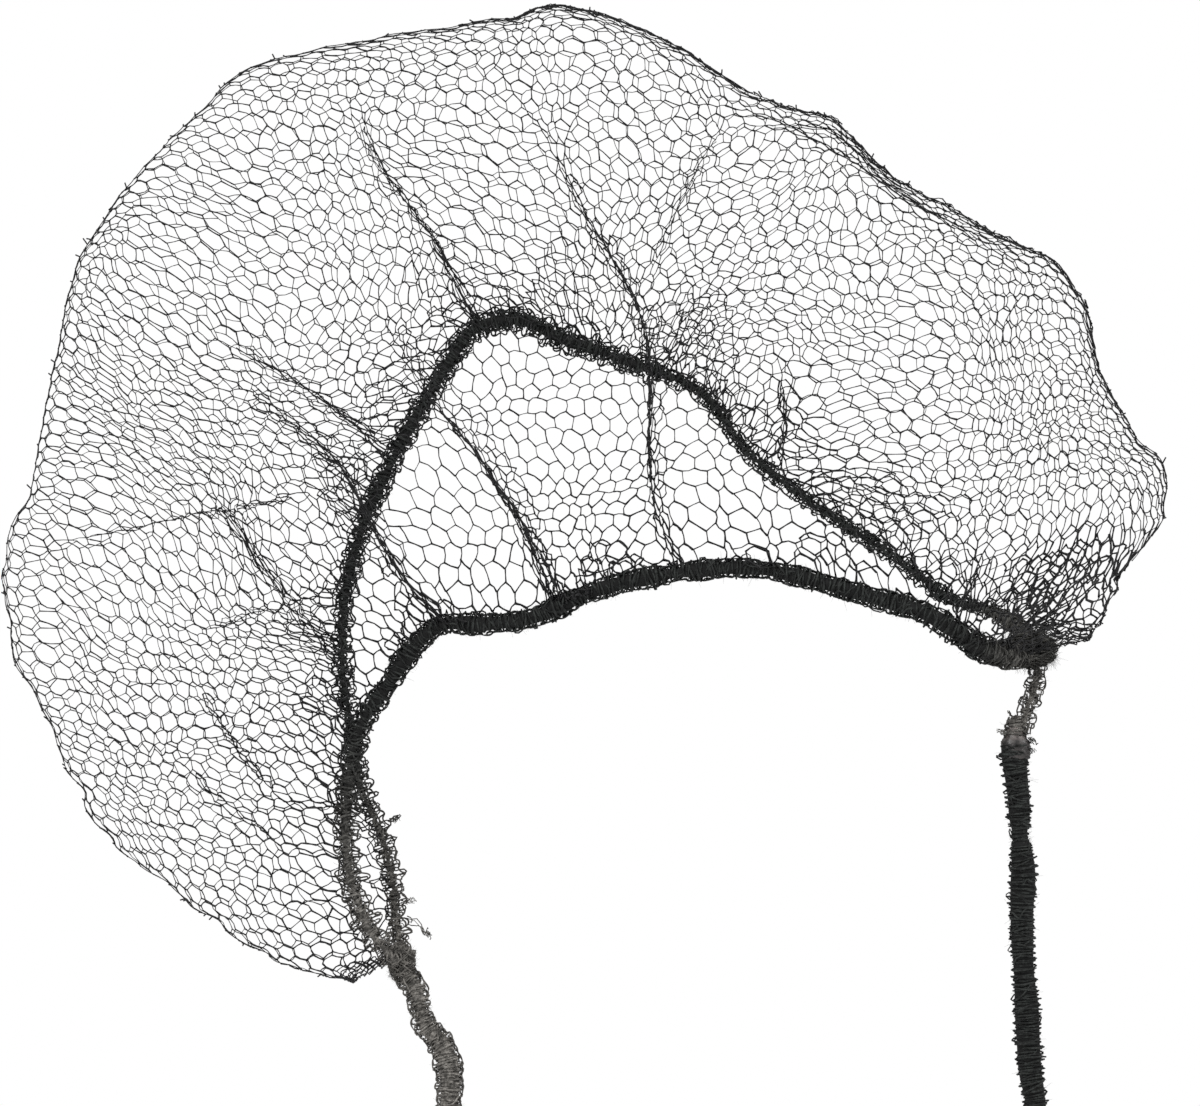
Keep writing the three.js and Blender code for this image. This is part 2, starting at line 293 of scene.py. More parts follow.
# %% The lace along its edges
def chain(path, half_width, height, pitch, yarn, seed):
    """Lace along each edge, of two strands. With f = 2 pi s / pitch, the first swings all the way
    between the core and the tips, out = height (1 + sin f) / 2, and is moved back along the edge by
    pitch / 9 sin 2f, which rounds its loops. The second joins the tips: height (0.8 + 0.25 sin f/2)."""
    length = run_of(path)[-1]
    s = np.linspace(0.3 * pitch, length - 0.3 * pitch, int(9 * length / pitch))
    root, tall = value_at(s, path, half_width), value_at(s, path, height)
    shells = []
    for edge in (-1, 1):
        turn = 2 * np.pi * s / pitch + 1.5 * wander(s, seed + edge, 4.3 * pitch)
        swing = 1 + 0.3 * wander(s, seed + 7 * edge, 2.1 * pitch)
        for middle, reach, beat in ((0.5, 0.5, 1.0), (0.8, 0.25, 0.5)):
            out = root - 0.1 * MM + tall * (middle + reach * np.sin(beat * turn)) * swing
            along = np.clip(s - pitch / 9 * np.sin(2 * beat * turn), 0, length)
            lift = 0.18 * MM * np.cos(beat * turn + reach) + 0.1 * MM * wander(s, seed + 11, 3 * pitch)
            paths = beside(path, along, edge * out, lift)
            thick = yarn * (1 + 0.15 * wander(s, seed + 5, pitch))
            # The lace carries less painted light than the windings.
            shells.append(threads(paths[None], thick, sides=3, painted_light=0.35))
    return merged(*shells)


def ears(path, half_width, height, spacing, yarn, seed):
    """Odd loops that stand out of the lace. Each leaves the edge, rises to its height and returns:
    along = -w/2 cos t (0.6 + 0.4 sin t), out = h sin t, for t from -0.5 to pi + 0.5."""
    rng = np.random.default_rng(seed)
    count = int(run_of(path)[-1] / spacing)
    turn = np.linspace(-0.5, np.pi + 0.5, 8)[None]
    shells = []
    for edge in (-1, 1):
        start = (np.arange(count) + 0.5 + rng.uniform(-0.45, 0.45, count)) * spacing
        tall = value_at(start, path, height)[:, None] * rng.uniform(0.5, 1.3, (count, 1))
        wide = tall * rng.uniform(0.7, 1.6, (count, 1)) + 0.3 * MM
        root = value_at(start, path, half_width)[:, None]
        along = -0.5 * wide * np.cos(turn) * (0.6 + 0.4 * np.sin(turn))
        along = along + rng.normal(0, 0.3, (count, 1)) * tall * np.sin(turn)
        lift = rng.normal(0, 0.3 * MM, (count, 1))
        lift = lift + 0.2 * wide * np.cos(turn) * rng.choice([-1, 1], (count, 1))
        paths = beside(path, start[:, None] + along, edge * (root - 0.15 * MM + tall * np.sin(turn)), lift)
        shells.append(threads(paths, yarn * rng.uniform(0.7, 1.2, (count, 1)), sides=3, painted_light=0.35))
    return merged(*shells)


def fuzz(path, half_width, half_depth, count, length, seed):
    """Loose fibres: each starts in the core at a random angle and leans away from it, bending as
    start + l t outward + (l / 2) t^2 drift, for t from 0 to 1."""
    rng = np.random.default_rng(seed)
    s = rng.uniform(0.01, 0.99, count) * run_of(path)[-1]
    turn = rng.uniform(0, 2 * np.pi, count)
    wide, deep = value_at(s, path, half_width), value_at(s, path, half_depth)
    root = beside(path, s, 0.8 * wide * np.cos(turn), 0.8 * deep * np.sin(turn))
    outward = unit(root - beside(path, s, 0 * s, 0 * s))
    drift = rng.normal(0, 0.8, (count, 3))
    long = length * rng.uniform(0.4, 1.5, (count, 1, 1))
    t = np.linspace(0, 1, 3)[None, :, None]
    paths = root[:, None] + long * (t * unit(outward + 0.5 * drift)[:, None] + 0.5 * t**2 * drift[:, None])
    taper = np.array([1.0, 0.85, 0.4])
    return threads(paths, 0.024 * MM * taper, sides=3, painted_light=0.5)


# %% The whole elastic
# The windings. Columns: half width and half depth against the core's, pitch and yarn against the
# elastic's, hand, looseness against the elastic's, and what is added to its seed.
WINDINGS = [
    (1.0, 1.0, 1.0, 1.0, 1, 1.0, 0),
    (0.9, 1.08, 1.35, 0.85, -1, 1.5, 20),
    (0.93, 1.12, 2.2, 0.7, 1, 1.8, 25),
]


def elastic(path, core, lace, pitch, loop, seed, fibres, depth=0.65, yarn=0.17 * MM, loose=0.2, laced=None):
    """The whole elastic along a path: core, three windings, lace, odd loops and fibres. core is the
    half width with its windings and lace the height of its loops at each point of the path, laced
    of which have any. pitch and loop are the lengths of a turn and of a loop, depth is the share of
    the half width that it is deep, and loose says how untidy it is. The rubber stops inside the
    windings, by 0.15 mm + 0.3 lace and at most 0.38 mm, so light comes through there."""
    inner = core - yarn
    rubber = np.maximum(inner - np.minimum(0.15 * MM + 0.3 * lace, 0.38 * MM), 0.35 * inner)
    windings = [
        wound(
            path, wide * inner, deep * depth * inner, turn * pitch, thick * yarn, seed + step,
            hand=hand, loose=untidy * loose,
        )
        for wide, deep, turn, thick, hand, untidy, step in WINDINGS
    ]
    return merged(
        rubber_core(path, rubber, 0.85 * depth * inner),
        *windings,
        chain(path[:laced], core[:laced] - 0.12 * MM, lace[:laced], loop, yarn, seed + 30),
        ears(path[:laced], core[:laced], 0.75 * lace[:laced], 1.5 * loop, 0.11 * MM, seed + 40),
        fuzz(path, core, depth * core, fibres, 0.7 * MM, seed + 50),
    )


# %% [markdown]
# ## The head strap
# One loop of the same elastic, real length, from the left corner of the mouth round to the splice
# under the right one. It hangs. Its route repeats the imported model's points, and the stretch
# behind the wearer's head takes the plain way round.

# %% Strap, route and mesh
STRAP_ROUTE = [
    (-0.0376, -0.0004, -0.0566), (-0.0357, -0.0016, -0.0592), (-0.0352, -0.0020, -0.0622),
    (-0.0340, -0.0026, -0.0650), (-0.0318, -0.0032, -0.0674), (-0.0306, -0.0037, -0.0707),
    (-0.0303, -0.0040, -0.0742), (-0.0305, -0.0042, -0.0776), (-0.0304, -0.0044, -0.0830),
    (-0.0298, -0.0047, -0.0920), (-0.0282, -0.0050, -0.1040), (-0.0246, -0.0054, -0.1180),
    (-0.0182, -0.0059, -0.1310), (-0.0086, -0.0065, -0.1420), (0.0036, -0.0073, -0.1494),
    (0.0164, -0.0081, -0.1518), (0.0292, -0.0089, -0.1490), (0.0410, -0.0097, -0.1414),
    (0.0500, -0.0104, -0.1300), (0.0558, -0.0110, -0.1170), (0.0596, -0.0115, -0.1030),
    (0.0616, -0.0118, -0.0910), (0.0624, -0.0120, -0.0820), (0.0624, -0.0120, -0.0766),
    (0.0615, -0.0120, -0.0709), (0.0612, -0.0120, -0.0662), (0.0609, -0.0120, -0.0603),
    (0.0604, -0.0120, -0.0535), (0.0602, -0.0120, -0.0464), (0.0604, -0.0120, -0.0393),
    (0.0599, -0.0120, -0.0338), (0.0597, -0.0120, -0.0283), (0.0591, -0.0119, -0.0227),
    (0.0589, -0.0118, -0.0195),
]
STRAP_WIDTH = 4.2 * MM
RIB = 0.57 * MM
STEP = 0.4  # between the points of a route, in millimetres
# Where the strap is pinched: run, share of the width and reach, with lengths in millimetres.
PINCHES = [(6.5, 0.17, 2.5), (261.5, 0.22, 1.8)]
# How tall the lace is by run, in millimetres. It ends where the strap is tight.
STRAP_LACE = ([0, 10, 30, 45], [0.6, 0.5, 0.3, 0.0])
# The strap's first and last stretch have a nap: their lengths in millimetres, and their fibres.
NAP_START = (26, 1600)
NAP_END = (62, 1400)


def smooth(route, step):
    """A route's Catmull-Rom curve, walked in even steps."""
    return evenly(catmull_rom(route, np.linspace(0, 1, 60 * len(route))), step)


def make_strap():
    """The strap: relaxed and open where it leaves the left corner, and tight from there on."""
    path = smooth(STRAP_ROUTE, STEP * MM)
    run = run_of(path)
    outer = STRAP_WIDTH / 2 * (1 + 0.045 * wander(run, 41, 14 * MM))
    for place, pinch, spread in PINCHES:
        outer *= 1 - pinch * np.exp(-(((run / MM - place) / spread) ** 2))
    lace = np.interp(run, np.array(STRAP_LACE[0]) * MM, STRAP_LACE[1]) * MM
    laced = int(STRAP_LACE[0][-1] / STEP)
    shell = elastic(path, outer - 0.6 * lace, lace, RIB, 1.25 * MM, 3, 1500, laced=laced)
    ends = [(path[: int(NAP_START[0] / STEP)], NAP_START[1]), (path[-int(NAP_END[0] / STEP):], NAP_END[1])]
    nap = [
        fuzz(end, 0.9 * STRAP_WIDTH / 2, 0.3 * STRAP_WIDTH, count, 0.33 * MM, count)
        for end, count in ends
    ]
    return new_piece("head_strap_elastic", merged(shell, *nap)), path


head_strap, strap_path = make_strap()
print("strap length", round(run_of(strap_path)[-1], 4), "m")

# %% [markdown]
# ## The pouch's surface
# The netting follows one surface. A table gives the mouth's front edge, the pouch's outermost line
# and the mouth's back edge at 24 sections from the left corner to the right. Between an edge and
# the outermost line, a section is a quarter ellipse, swollen or drawn flat, with a few pleats.

# %% Sections of the pouch, in millimetres
# Columns: front edge x y z, outermost line x y z, back edge x y z, swell of the front and the back.
SECTIONS = np.array([
    (-39.5, -4, -53.6, -46, 0, -57.8, -38.2, 4, -54.2, 0, 0),
    (-43, -6, -49.2, -59, 0, -54, -39.1, 6, -50, -1, -1),
    (-45.7, -8, -41.9, -72, 1, -45.5, -39.8, 8, -42.9, -2, -2),
    (-46.6, -10, -33.9, -85, 1, -35.5, -41.8, 9, -34.4, -3, -2),
    (-46.4, -11, -27.5, -92.5, 0, -23, -44.6, 10, -28.4, -2, -2),
    (-45.5, -13, -20.7, -99, -1, -5.5, -46.6, 11, -18.8, 1, 1),
    (-43.4, -14, -15.3, -101.7, -1, 9.4, -48.1, 12, -7.9, -1, 0),
    (-39.8, -15, -10, -97, -1, 25.3, -47.8, 13, 3.1, -3, -2),
    (-36.3, -16, -5, -93, -2, 43, -45.1, 14, 14.5, -2, -2),
    (-31.5, -17, -0.6, -88, -2, 60, -39.7, 14, 26.6, 1.5, 1),
    (-24.4, -18, -0.4, -76.6, -2, 75.4, -33.2, 14, 38, -3, -2),
    (-16.6, -18, 0.7, -64.3, -1, 87.3, -27.5, 14, 46.5, 1.5, 1),
    (-8.7, -19, 4.3, -47.2, 0, 92.2, -23, 14, 48.4, -3, -1),
    (-0.9, -19, 6.5, -29.4, 0, 95.2, -18.6, 14, 48.4, -3, -1),
    (7.7, -20, 7.9, -13.4, 0, 98.7, -13.5, 14, 46, 1.5, 1),
    (16.3, -20, 8.4, 6.4, 0, 92, -2.3, 15, 42, -2, -2),
    (24.9, -20, 7, 25, 0, 82.4, 9.9, 15, 36.9, -4, -3),
    (32.7, -21, 4.8, 39.5, -2, 73.6, 17.2, 15, 27.5, -4, -3),
    (38.9, -22, 3.1, 53.3, -5, 63.4, 26.1, 15, 20.2, -3, -3),
    (44.2, -24, 1.4, 68, -9, 54.3, 34.2, 14, 14.8, -2, -2),
    (48, -24, -0.8, 73.6, -14, 36.4, 42.2, 11, 9.3, 0, 0),
    (52.1, -21, -3.6, 82.3, -18, 19.8, 49.8, 6, 3.6, 2, 1),
    (56.2, -17, -5.2, 76.6, -15, 8, 56.6, 1, 1.2, 0, 0),
    (59.5, -12, -5.6, 71, -10, -3, 61, -5, -1.8, 0, 0),
]) * MM
FRONT_EDGE, OUTERMOST, BACK_EDGE, SWELL = np.split(SECTIONS, [3, 6, 9], axis=1)
LAST = len(SECTIONS) - 1
# Pleats: section where it starts at the mouth, section where it fades, reach (1 is the outermost
# line), how proud it stands in millimetres, and its width in sections.
PLEATS = {
    "front": [
        (9.4, 9.1, 0.6, 1.6, 0.45), (11.8, 11.4, 0.65, 1.6, 0.4),
        (15.2, 14.4, 0.9, 1.8, 0.4), (21, 21.2, 0.35, 1.2, 0.4),
    ],
    "back": [(6.5, 5.6, 0.8, 1.4, 0.4), (17.4, 17.9, 0.7, 1.5, 0.4)],
}

# The rim isn't quite smooth: section, how far it stands out in millimetres, and over how much.
RIM_BUMPS = [
    (0.45, 0.4, 0.3), (2.55, -0.8, 0.5), (3.67, -1.0, 0.25), (4.33, -1.2, 0.25), (5, 1.1, 0.35),
    (6.75, -0.9, 0.35), (8.6, 0.5, 0.4), (10.5, -0.9, 0.35), (13.6, -1.3, 0.35), (15.55, -2, 0.45),
    (16.35, 1, 0.28), (17.15, -2, 0.42), (20.67, 0.9, 0.3), (22, -1.1, 0.3),
]
# How far the outermost line wavers besides, by section, in millimetres.
RIM_WAVER = ([0, 1, 5, 7, 19, 21, 23], [0.25, 0.35, 0.3, 0.1, 0.12, 0.25, 0.3])
print(len(SECTIONS), "sections,", sum(len(rows) for rows in PLEATS.values()), "pleats")


# %% The surface itself
def rim_line(u):
    """The outermost line: its smooth curve, moved away from the mouth's middle by the sum over the
    bumps of height exp(-((section - centre) / width)^2), and by a small wander."""
    outer = catmull_rom(OUTERMOST, u)
    middle = (catmull_rom(FRONT_EDGE, u) + catmull_rom(BACK_EDGE, u)) / 2
    away = unit((outer - middle) * np.array([1, 0, 1]))
    bumps = sum(
        height * MM * np.exp(-(((u * LAST - centre) / wide) ** 2))
        for centre, height, wide in RIM_BUMPS
    )
    bumps = bumps + np.interp(u * LAST, *RIM_WAVER) * MM * wander(u, 15, 0.022)
    return outer + away * np.asarray(bumps)[..., None]


def pleat_lift(wall, u, out):
    """The sum over the wall's pleats of proud (1 - along^2) exp(-((section - centre) / width)^2)."""
    lift = np.zeros(np.broadcast(u, out).shape)
    for start, end, reach, proud, width in PLEATS[wall]:
        along = np.clip(out / reach, 0, 1)
        centre = start + (end - start) * along
        lift += proud * MM * (1 - along**2) * np.exp(-(((u * LAST - centre) / width) ** 2))
    return lift


def wall_point(wall, u, angle):
    """A point of the front or back wall. u runs along the mouth, and angle from 0 at the mouth to
    pi/2 at the outermost line: x and z go out with its sine, and the depth falls with its cosine,
    plus swell sin(2 angle) and the pleats, all towards the wall's own side."""
    is_front = wall == "front"
    edge = catmull_rom(FRONT_EDGE if is_front else BACK_EDGE, u)
    outer = rim_line(u)
    swell = catmull_rom(SWELL, u)[..., 0 if is_front else 1]
    out, deep = np.sin(angle), np.cos(angle)
    proud = swell * np.sin(2 * angle) + pleat_lift(wall, u, out)
    depth = outer[..., 1] + (edge[..., 1] - outer[..., 1]) * deep + (-proud if is_front else proud)
    plan = edge + (outer - edge) * out[..., None]
    return np.stack([plan[..., 0], depth, plan[..., 2]], axis=-1)


# %% [markdown]
# ## Laying the netting flat
# Honeycomb is easy to draw on a table and hard to draw on a pouch, so each wall is unrolled.
# A place on a wall is (u, t): u along the mouth, t the share of the way from the mouth to the
# outermost line. On the flat pattern that place lies on the straight line from the edge to a rim
# drawn a little outside the pouch, by the length that the wall's curve takes up plus some slack.
# Near the rim the slack is squeezed in, as it is where real netting turns over an edge. Both walls
# share the rim, so threads that cross it carry on round the other side.

# %% Unrolling tables
MERIDIANS, PARALLELS, SPARE = 460, 48, 14
U = np.linspace(0, 1, MERIDIANS + 1)
# Slack gathered along the rim, by section, in millimetres.
RIM_SLACK = ([0, 4, 9, 14, 17, 20, 22, 23], [1, 1.5, 2, 2.5, 9, 8, 4, 3])


def wall_grid(wall):
    """Points of a wall at equal steps along each of its meridians, and each meridian's length. The
    rows are laid end to end, two units apart, so that a single interpolation does them all."""
    angle = np.linspace(0, np.pi / 2, 4 * PARALLELS + 1)
    fine = wall_point(wall, U[:, None], angle[None, :])
    step = np.linalg.norm(np.diff(fine, axis=1), axis=2)
    arc = np.concatenate([np.zeros((len(U), 1)), np.cumsum(step, axis=1)], axis=1)
    rows = 2.0 * np.arange(len(U))[:, None]
    known = (arc / arc[:, -1:] + rows).ravel()
    wanted = (np.linspace(0, 1, PARALLELS + 1)[None] + rows).ravel()
    even = rows_at(wanted, known, fine.reshape(-1, 3))
    return even.reshape(len(U), PARALLELS + 1, 3), arc[:, -1]


def carried_on(curve):
    """A sampled curve continued straight on by SPARE steps past both ends."""
    steps = np.arange(1, SPARE + 1)[:, None]
    before = curve[0] - (curve[4] - curve[0]) / 4 * steps[::-1]
    after = curve[-1] + (curve[-1] - curve[-5]) / 4 * steps
    return np.vstack([before, curve, after])


WALLS = {wall: wall_grid(wall) for wall in ("front", "back")}
ROOTS = {wall: grid[:, 0, ::2] for wall, (grid, _) in WALLS.items()}
OUTLINE = WALLS["front"][0][:, -1, ::2]
OUTWARD = unit(OUTLINE - (ROOTS["front"] + ROOTS["back"]) / 2)
STRAIGHT = {wall: np.linalg.norm(OUTLINE - ROOTS[wall], axis=1) for wall in WALLS}
TAKEN_UP = sum(WALLS[wall][1] - STRAIGHT[wall] for wall in WALLS) / 2
SLACK = np.interp(U * LAST, *RIM_SLACK) * MM
MOST_TAKEN_UP = 5 * MM
RIM = OUTLINE + OUTWARD * (np.clip(TAKEN_UP, 0, MOST_TAKEN_UP) + SLACK)[:, None]
RAYS = {wall: (carried_on(ROOTS[wall]), carried_on(RIM)) for wall in WALLS}
print("outermost line", round(run_of(WALLS["front"][0][:, -1])[-1] / MM), "mm long")


# %% From the flat pattern to the wall
def cross2(a, b):
    """The signed area of two plane vectors."""
    return a[..., 0] * b[..., 1] - a[..., 1] * b[..., 0]


def unrolled(wall, flat):
    """(u, t) of points on the flat pattern. A point lies on the line from edge to rim where its
    signed area with that line changes sign from one sampled line to the next."""
    root, end = RAYS[wall]
    ray = end - root
    u_of_line = (np.arange(len(root)) - SPARE) / MERIDIANS
    found = np.full((len(flat), 2), np.nan)
    for part in np.array_split(np.arange(len(flat)), max(1, len(flat) // 2000)):
        off = flat[part][:, None] - root[None]
        area = cross2(off, ray[None])
        t = (off * ray[None]).sum(-1) / (ray**2).sum(-1)[None]
        crossed = (area[:, :-1] * area[:, 1:] <= 0) & (np.abs(t[:, :-1] - 0.5) < 0.8)
        distance = np.where(crossed, np.abs(t[:, :-1] - 0.5), 9)
        line = distance.argmin(1)
        row = np.arange(len(part))
        gap = area[row, line] - area[row, line + 1]
        share = area[row, line] / np.where(gap == 0, 1, gap)
        u = u_of_line[line] + share / MERIDIANS
        t_here = t[row, line] + (t[row, line + 1] - t[row, line]) * share
        good = distance[row, line] < 9
        found[part] = np.where(good[:, None], np.stack([u, t_here], axis=1), np.nan)
    return found


def on_wall(wall, u, t):
    """The point of the wall at (u, t). The flat distance d = t D shrinks near the rim to
    d - e ((d - D + w) / w)^2, where D is the flat width, e its excess over the wall's true length
    and w = 2.6 e the stretch that takes up the excess."""
    grid, length = WALLS[wall]
    flat_width = np.interp(u, U, np.linalg.norm(RIM - ROOTS[wall], axis=1))
    true_width = np.interp(u, U, length)
    excess = flat_width - true_width
    taken = np.maximum(2.6 * np.abs(excess), 4 * MM)
    d = t * flat_width
    d = d - excess * np.clip((d - flat_width + taken) / taken, 0, 1) ** 2
    a = np.clip(u, 0, 1) * MERIDIANS
    b = np.clip(d / true_width, 0, 1) * PARALLELS
    i = np.minimum(a.astype(int), MERIDIANS - 1)
    j = np.minimum(b.astype(int), PARALLELS - 1)
    p, q = (a - i)[..., None], (b - j)[..., None]
    near = (1 - q) * grid[i, j] + q * grid[i, j + 1]
    far = (1 - q) * grid[i + 1, j] + q * grid[i + 1, j + 1]
    return (1 - p) * near + p * far


def flat_of_plan(wall, plan):
    """The flat place of a point that is seen at (x, z) on the finished wall: the flat place of the
    nearest grid point, plus the same small step."""
    u, t = np.meshgrid(U, np.linspace(0, 1, PARALLELS + 1), indexing="ij")
    grid = on_wall(wall, u, t)[..., ::2].reshape(-1, 2)
    flat = (ROOTS[wall][:, None] + (RIM - ROOTS[wall])[:, None] * t[..., None]).reshape(-1, 2)
    near = np.linalg.norm(grid[:, None] - plan[None], axis=2).argmin(0)
    return flat[near] + plan - grid[near]


# %% [markdown]
# ## Drawing the honeycomb
# The pattern starts as perfect hexagons whose upright sides stand in columns. It then goes through
# the changes that cloth goes through in the hand: the columns fan out a little, the whole pattern
# wanders, slack runs together into creases, and near the two corners the netting is bunched. Each
# step is a smooth push of flat points, so the cells stay joined.

# %% Hexagons
CELL = 2.7 * MM
ROW = 2.45 * MM
ZIGZAG = 0.85 * MM


def hexagons(low, high):
    """Corners and sides of a honeycomb between two flat points. Corner (i, j) is at (i CELL/2,
    j ROW +- ZIGZAG/2), up where i + j is odd. Sides: zigzags along each row, and uprights that join
    up corners to the row above. kind is 1 on sides that fall to the right, which are doubled."""
    columns = np.arange(round(low[0] / CELL * 2), round(high[0] / CELL * 2) + 1)
    rows = np.arange(round(low[1] / ROW), round(high[1] / ROW) + 1)
    i, j = np.meshgrid(columns, rows, indexing="ij")
    up = (i + j) % 2 == 1
    corners = np.stack([i * CELL / 2, j * ROW + np.where(up, 0.5, -0.5) * ZIGZAG], axis=-1)
    number = np.arange(i.size).reshape(i.shape)
    zigzags = np.stack([number[:-1], number[1:]], axis=-1).reshape(-1, 2)
    uprights = np.stack([number[:, :-1], number[:, 1:]], axis=-1)[up[:, :-1]]
    kind = np.concatenate([up[:-1].astype(int).ravel(), np.zeros(len(uprights), int)])
    return corners.reshape(-1, 2), np.vstack([zigzags, uprights]), kind


# %% The pushes
# Columns lean by this much for each millimetre of height, at these x, and rows rise by this many
# millimetres there.
LEAN = ([-110, -60, -20, 30, 85], [-0.42, -0.26, -0.04, 0.02, 0.16])
RISE = ([-110, -60, 0, 60, 90], [8, 3, 0, -1.5, -3])
LEAN_LEVEL = 25 * MM


def fanned(flat):
    """Columns leaning outwards: x + lean(x) (z - level), z + rise(x)."""
    x, z = flat.T
    lean = np.interp(x / MM, *LEAN)
    return np.stack([x + lean * (z - LEAN_LEVEL), z + np.interp(x / MM, *RISE) * MM], axis=-1)


def waves(flat, seed, size, length, count=7):
    """A smooth random push: the sum of count sine waves of random headings and wavelengths near
    length, each pushing in its own random direction."""
    rng = np.random.default_rng(seed)
    heading = rng.uniform(0, 2 * np.pi, count)
    wave = length * rng.uniform(0.7, 1.4, count)
    phase = rng.uniform(0, 2 * np.pi, count)
    push = rng.uniform(0, 2 * np.pi, count)
    along = flat @ np.stack([np.cos(heading), np.sin(heading)]) * 2 * np.pi / wave + phase
    return np.sin(along) @ np.stack([np.cos(push), np.sin(push)], axis=1) * size / math.sqrt(count / 2)


def creased(flat, line, slack, width, reach):
    """Slack drawn in to a line: each point moves towards the nearest point of the line by
    slack/2 tanh(d / width) exp(-(d / reach)^2), where d is its distance, less near the line's ends."""
    t = np.linspace(0, 1, 70)
    curve = catmull_rom(line, t)
    fade = np.sin(np.pi * t) ** 0.6
    off = curve[None] - flat[:, None]
    gap = np.linalg.norm(off, axis=2)
    near = gap.argmin(1)
    row = np.arange(len(flat))
    d = gap[row, near]
    pull = slack / 2 * np.tanh(d / width) * np.exp(-((d / reach) ** 2)) * fade[near]
    return flat + off[row, near] / np.maximum(d, 1e-9)[:, None] * pull[:, None]


def bunched(flat, centre, reach, tight):
    """Points drawn in to a centre: at a distance r they come nearer by the share
    tight exp(-(r / reach)^2). tight is one share, or one for x and one for z."""
    off = flat - centre
    r = np.linalg.norm(off, axis=1, keepdims=True)
    return centre + off * (1 - tight * np.exp(-((r / reach) ** 2)))


# %% Where the netting is creased
# Each crease: its line as (x, z) in millimetres on the finished wall, then slack, width and reach.
CREASES = {
    "front": [
        ([(-17, 82.5), (-9, 65), (-0.5, 50.5), (2, 39.5), (2, 27.5), (3.5, 17.5), (10, 7)], 7, 2.8, 20),
        ([(-42, 53), (-33, 38.5), (-25, 29), (-19.5, 19.5), (-16, 9.5), (-16, 0)], 8, 3.2, 22),
        ([(-64, 38), (-49, 26.5), (-44, 18), (-38.5, 8), (-28.5, -1.5)], 10, 4.2, 24),
        ([(55, 14.5), (54, 8), (53, -3)], 4.5, 2.2, 8),
        ([(-72.5, -7), (-67.5, -15.5), (-62, -24.5), (-54, -33)], 3, 2, 7),
        ([(-79, -18), (-67.5, -28.5), (-55.5, -39.5)], 2.6, 2, 7),
    ],
    "back": [
        ([(-100, 10), (-84, 14.5), (-64, 19.5), (-50, 24)], 5.6, 2.4, 9),
        ([(-70, 21), (-61, 6.5), (-51.5, -8)], 3.6, 2.1, 8),
        ([(-74, -3.5), (-63, 2.5), (-47.5, 8)], 3.6, 2.1, 8),
        ([(23.5, 45), (25.5, 35.5), (27, 21)], 5.5, 2.4, 9),
        ([(15.5, 82), (8, 71), (0, 53)], 5, 2.4, 9),
        ([(-72.5, 47.5), (-61, 42), (-48.5, 34), (-42, 29)], 6, 2.6, 10),
        ([(-46, 84), (-42.4, 74.4), (-33.6, 62.4), (-28, 51.2), (-24, 46.4)], 7, 2.8, 11),
    ],
    "both": [
        ([(9.5, 84), (19, 81), (25.5, 78.5), (33.5, 74), (49.5, 63.5), (64, 55)], 6.5, 3, 9),
    ],
}
LEFT_CORNER = np.array([-38.1, -54.9]) * MM
RIGHT_CORNER = np.array([61.7, -4.6]) * MM


def all_creased(flat, wall, which):
    """The flat points after each crease of one group in turn."""
    for line, slack, width, reach in CREASES[which]:
        placed = flat_of_plan(wall, np.array(line) * MM)
        flat = creased(flat, placed, slack * MM, width * MM, reach * MM)
    return flat


# %% The finished pattern of one wall
GATHER, GATHER_REACH = 1.15 * MM, 8 * MM  # sideways push of threads at the elastic, and its reach
DRAWN, DRAWN_REACH = 8 * MM, 13 * MM  # pull towards the elastic, which makes cells tall, and its reach


def gathered(wall, places, seed):
    """The cloth is longer than the elastic that it is knitted to, so it meets it in small folds.
    At a distance d from the edge, a place moves along by GATHER wander(s) exp(-d / GATHER_REACH),
    which turns back on itself where the wander is steep, and in by DRAWN exp(-d / DRAWN_REACH)."""
    grid, length = WALLS[wall]
    u, t = places.T
    run = run_of(grid[:, 0])
    width = np.interp(u, U, length)
    d = np.clip(t, 0, 1) * width
    s = np.interp(u, U, run)
    push = GATHER * wander(s, seed + 60, 7.5 * MM, 7) * np.exp(-d / GATHER_REACH)
    moved = np.interp(s + push, run, U)
    inside = (u > 0.004) & (u < 0.996)
    return np.stack([np.where(inside, moved, u), t - DRAWN / width * np.exp(-d / DRAWN_REACH)], axis=-1)


# How far folds reach in from the elastic, in millimetres, and how much of a heap's radius they
# fill: the first fold and the second.
FOLD_DEPTH = {"front": (2.5, 0), "back": (8.5, 5.5)}
HEAP_SHARE = (0.9, 0.55)
# Where the netting lies heaped by itself: middle (x, z) and radius in millimetres.
CORNER_HEAPS = [((61.7, -4.6), 7), ((65, 4.5), 8), ((71.5, 9.5), 5.5)]
HEAPS = {"front": CORNER_HEAPS, "back": CORNER_HEAPS + [((23, 31.5), 6.5), ((31.5, 26), 4)]}


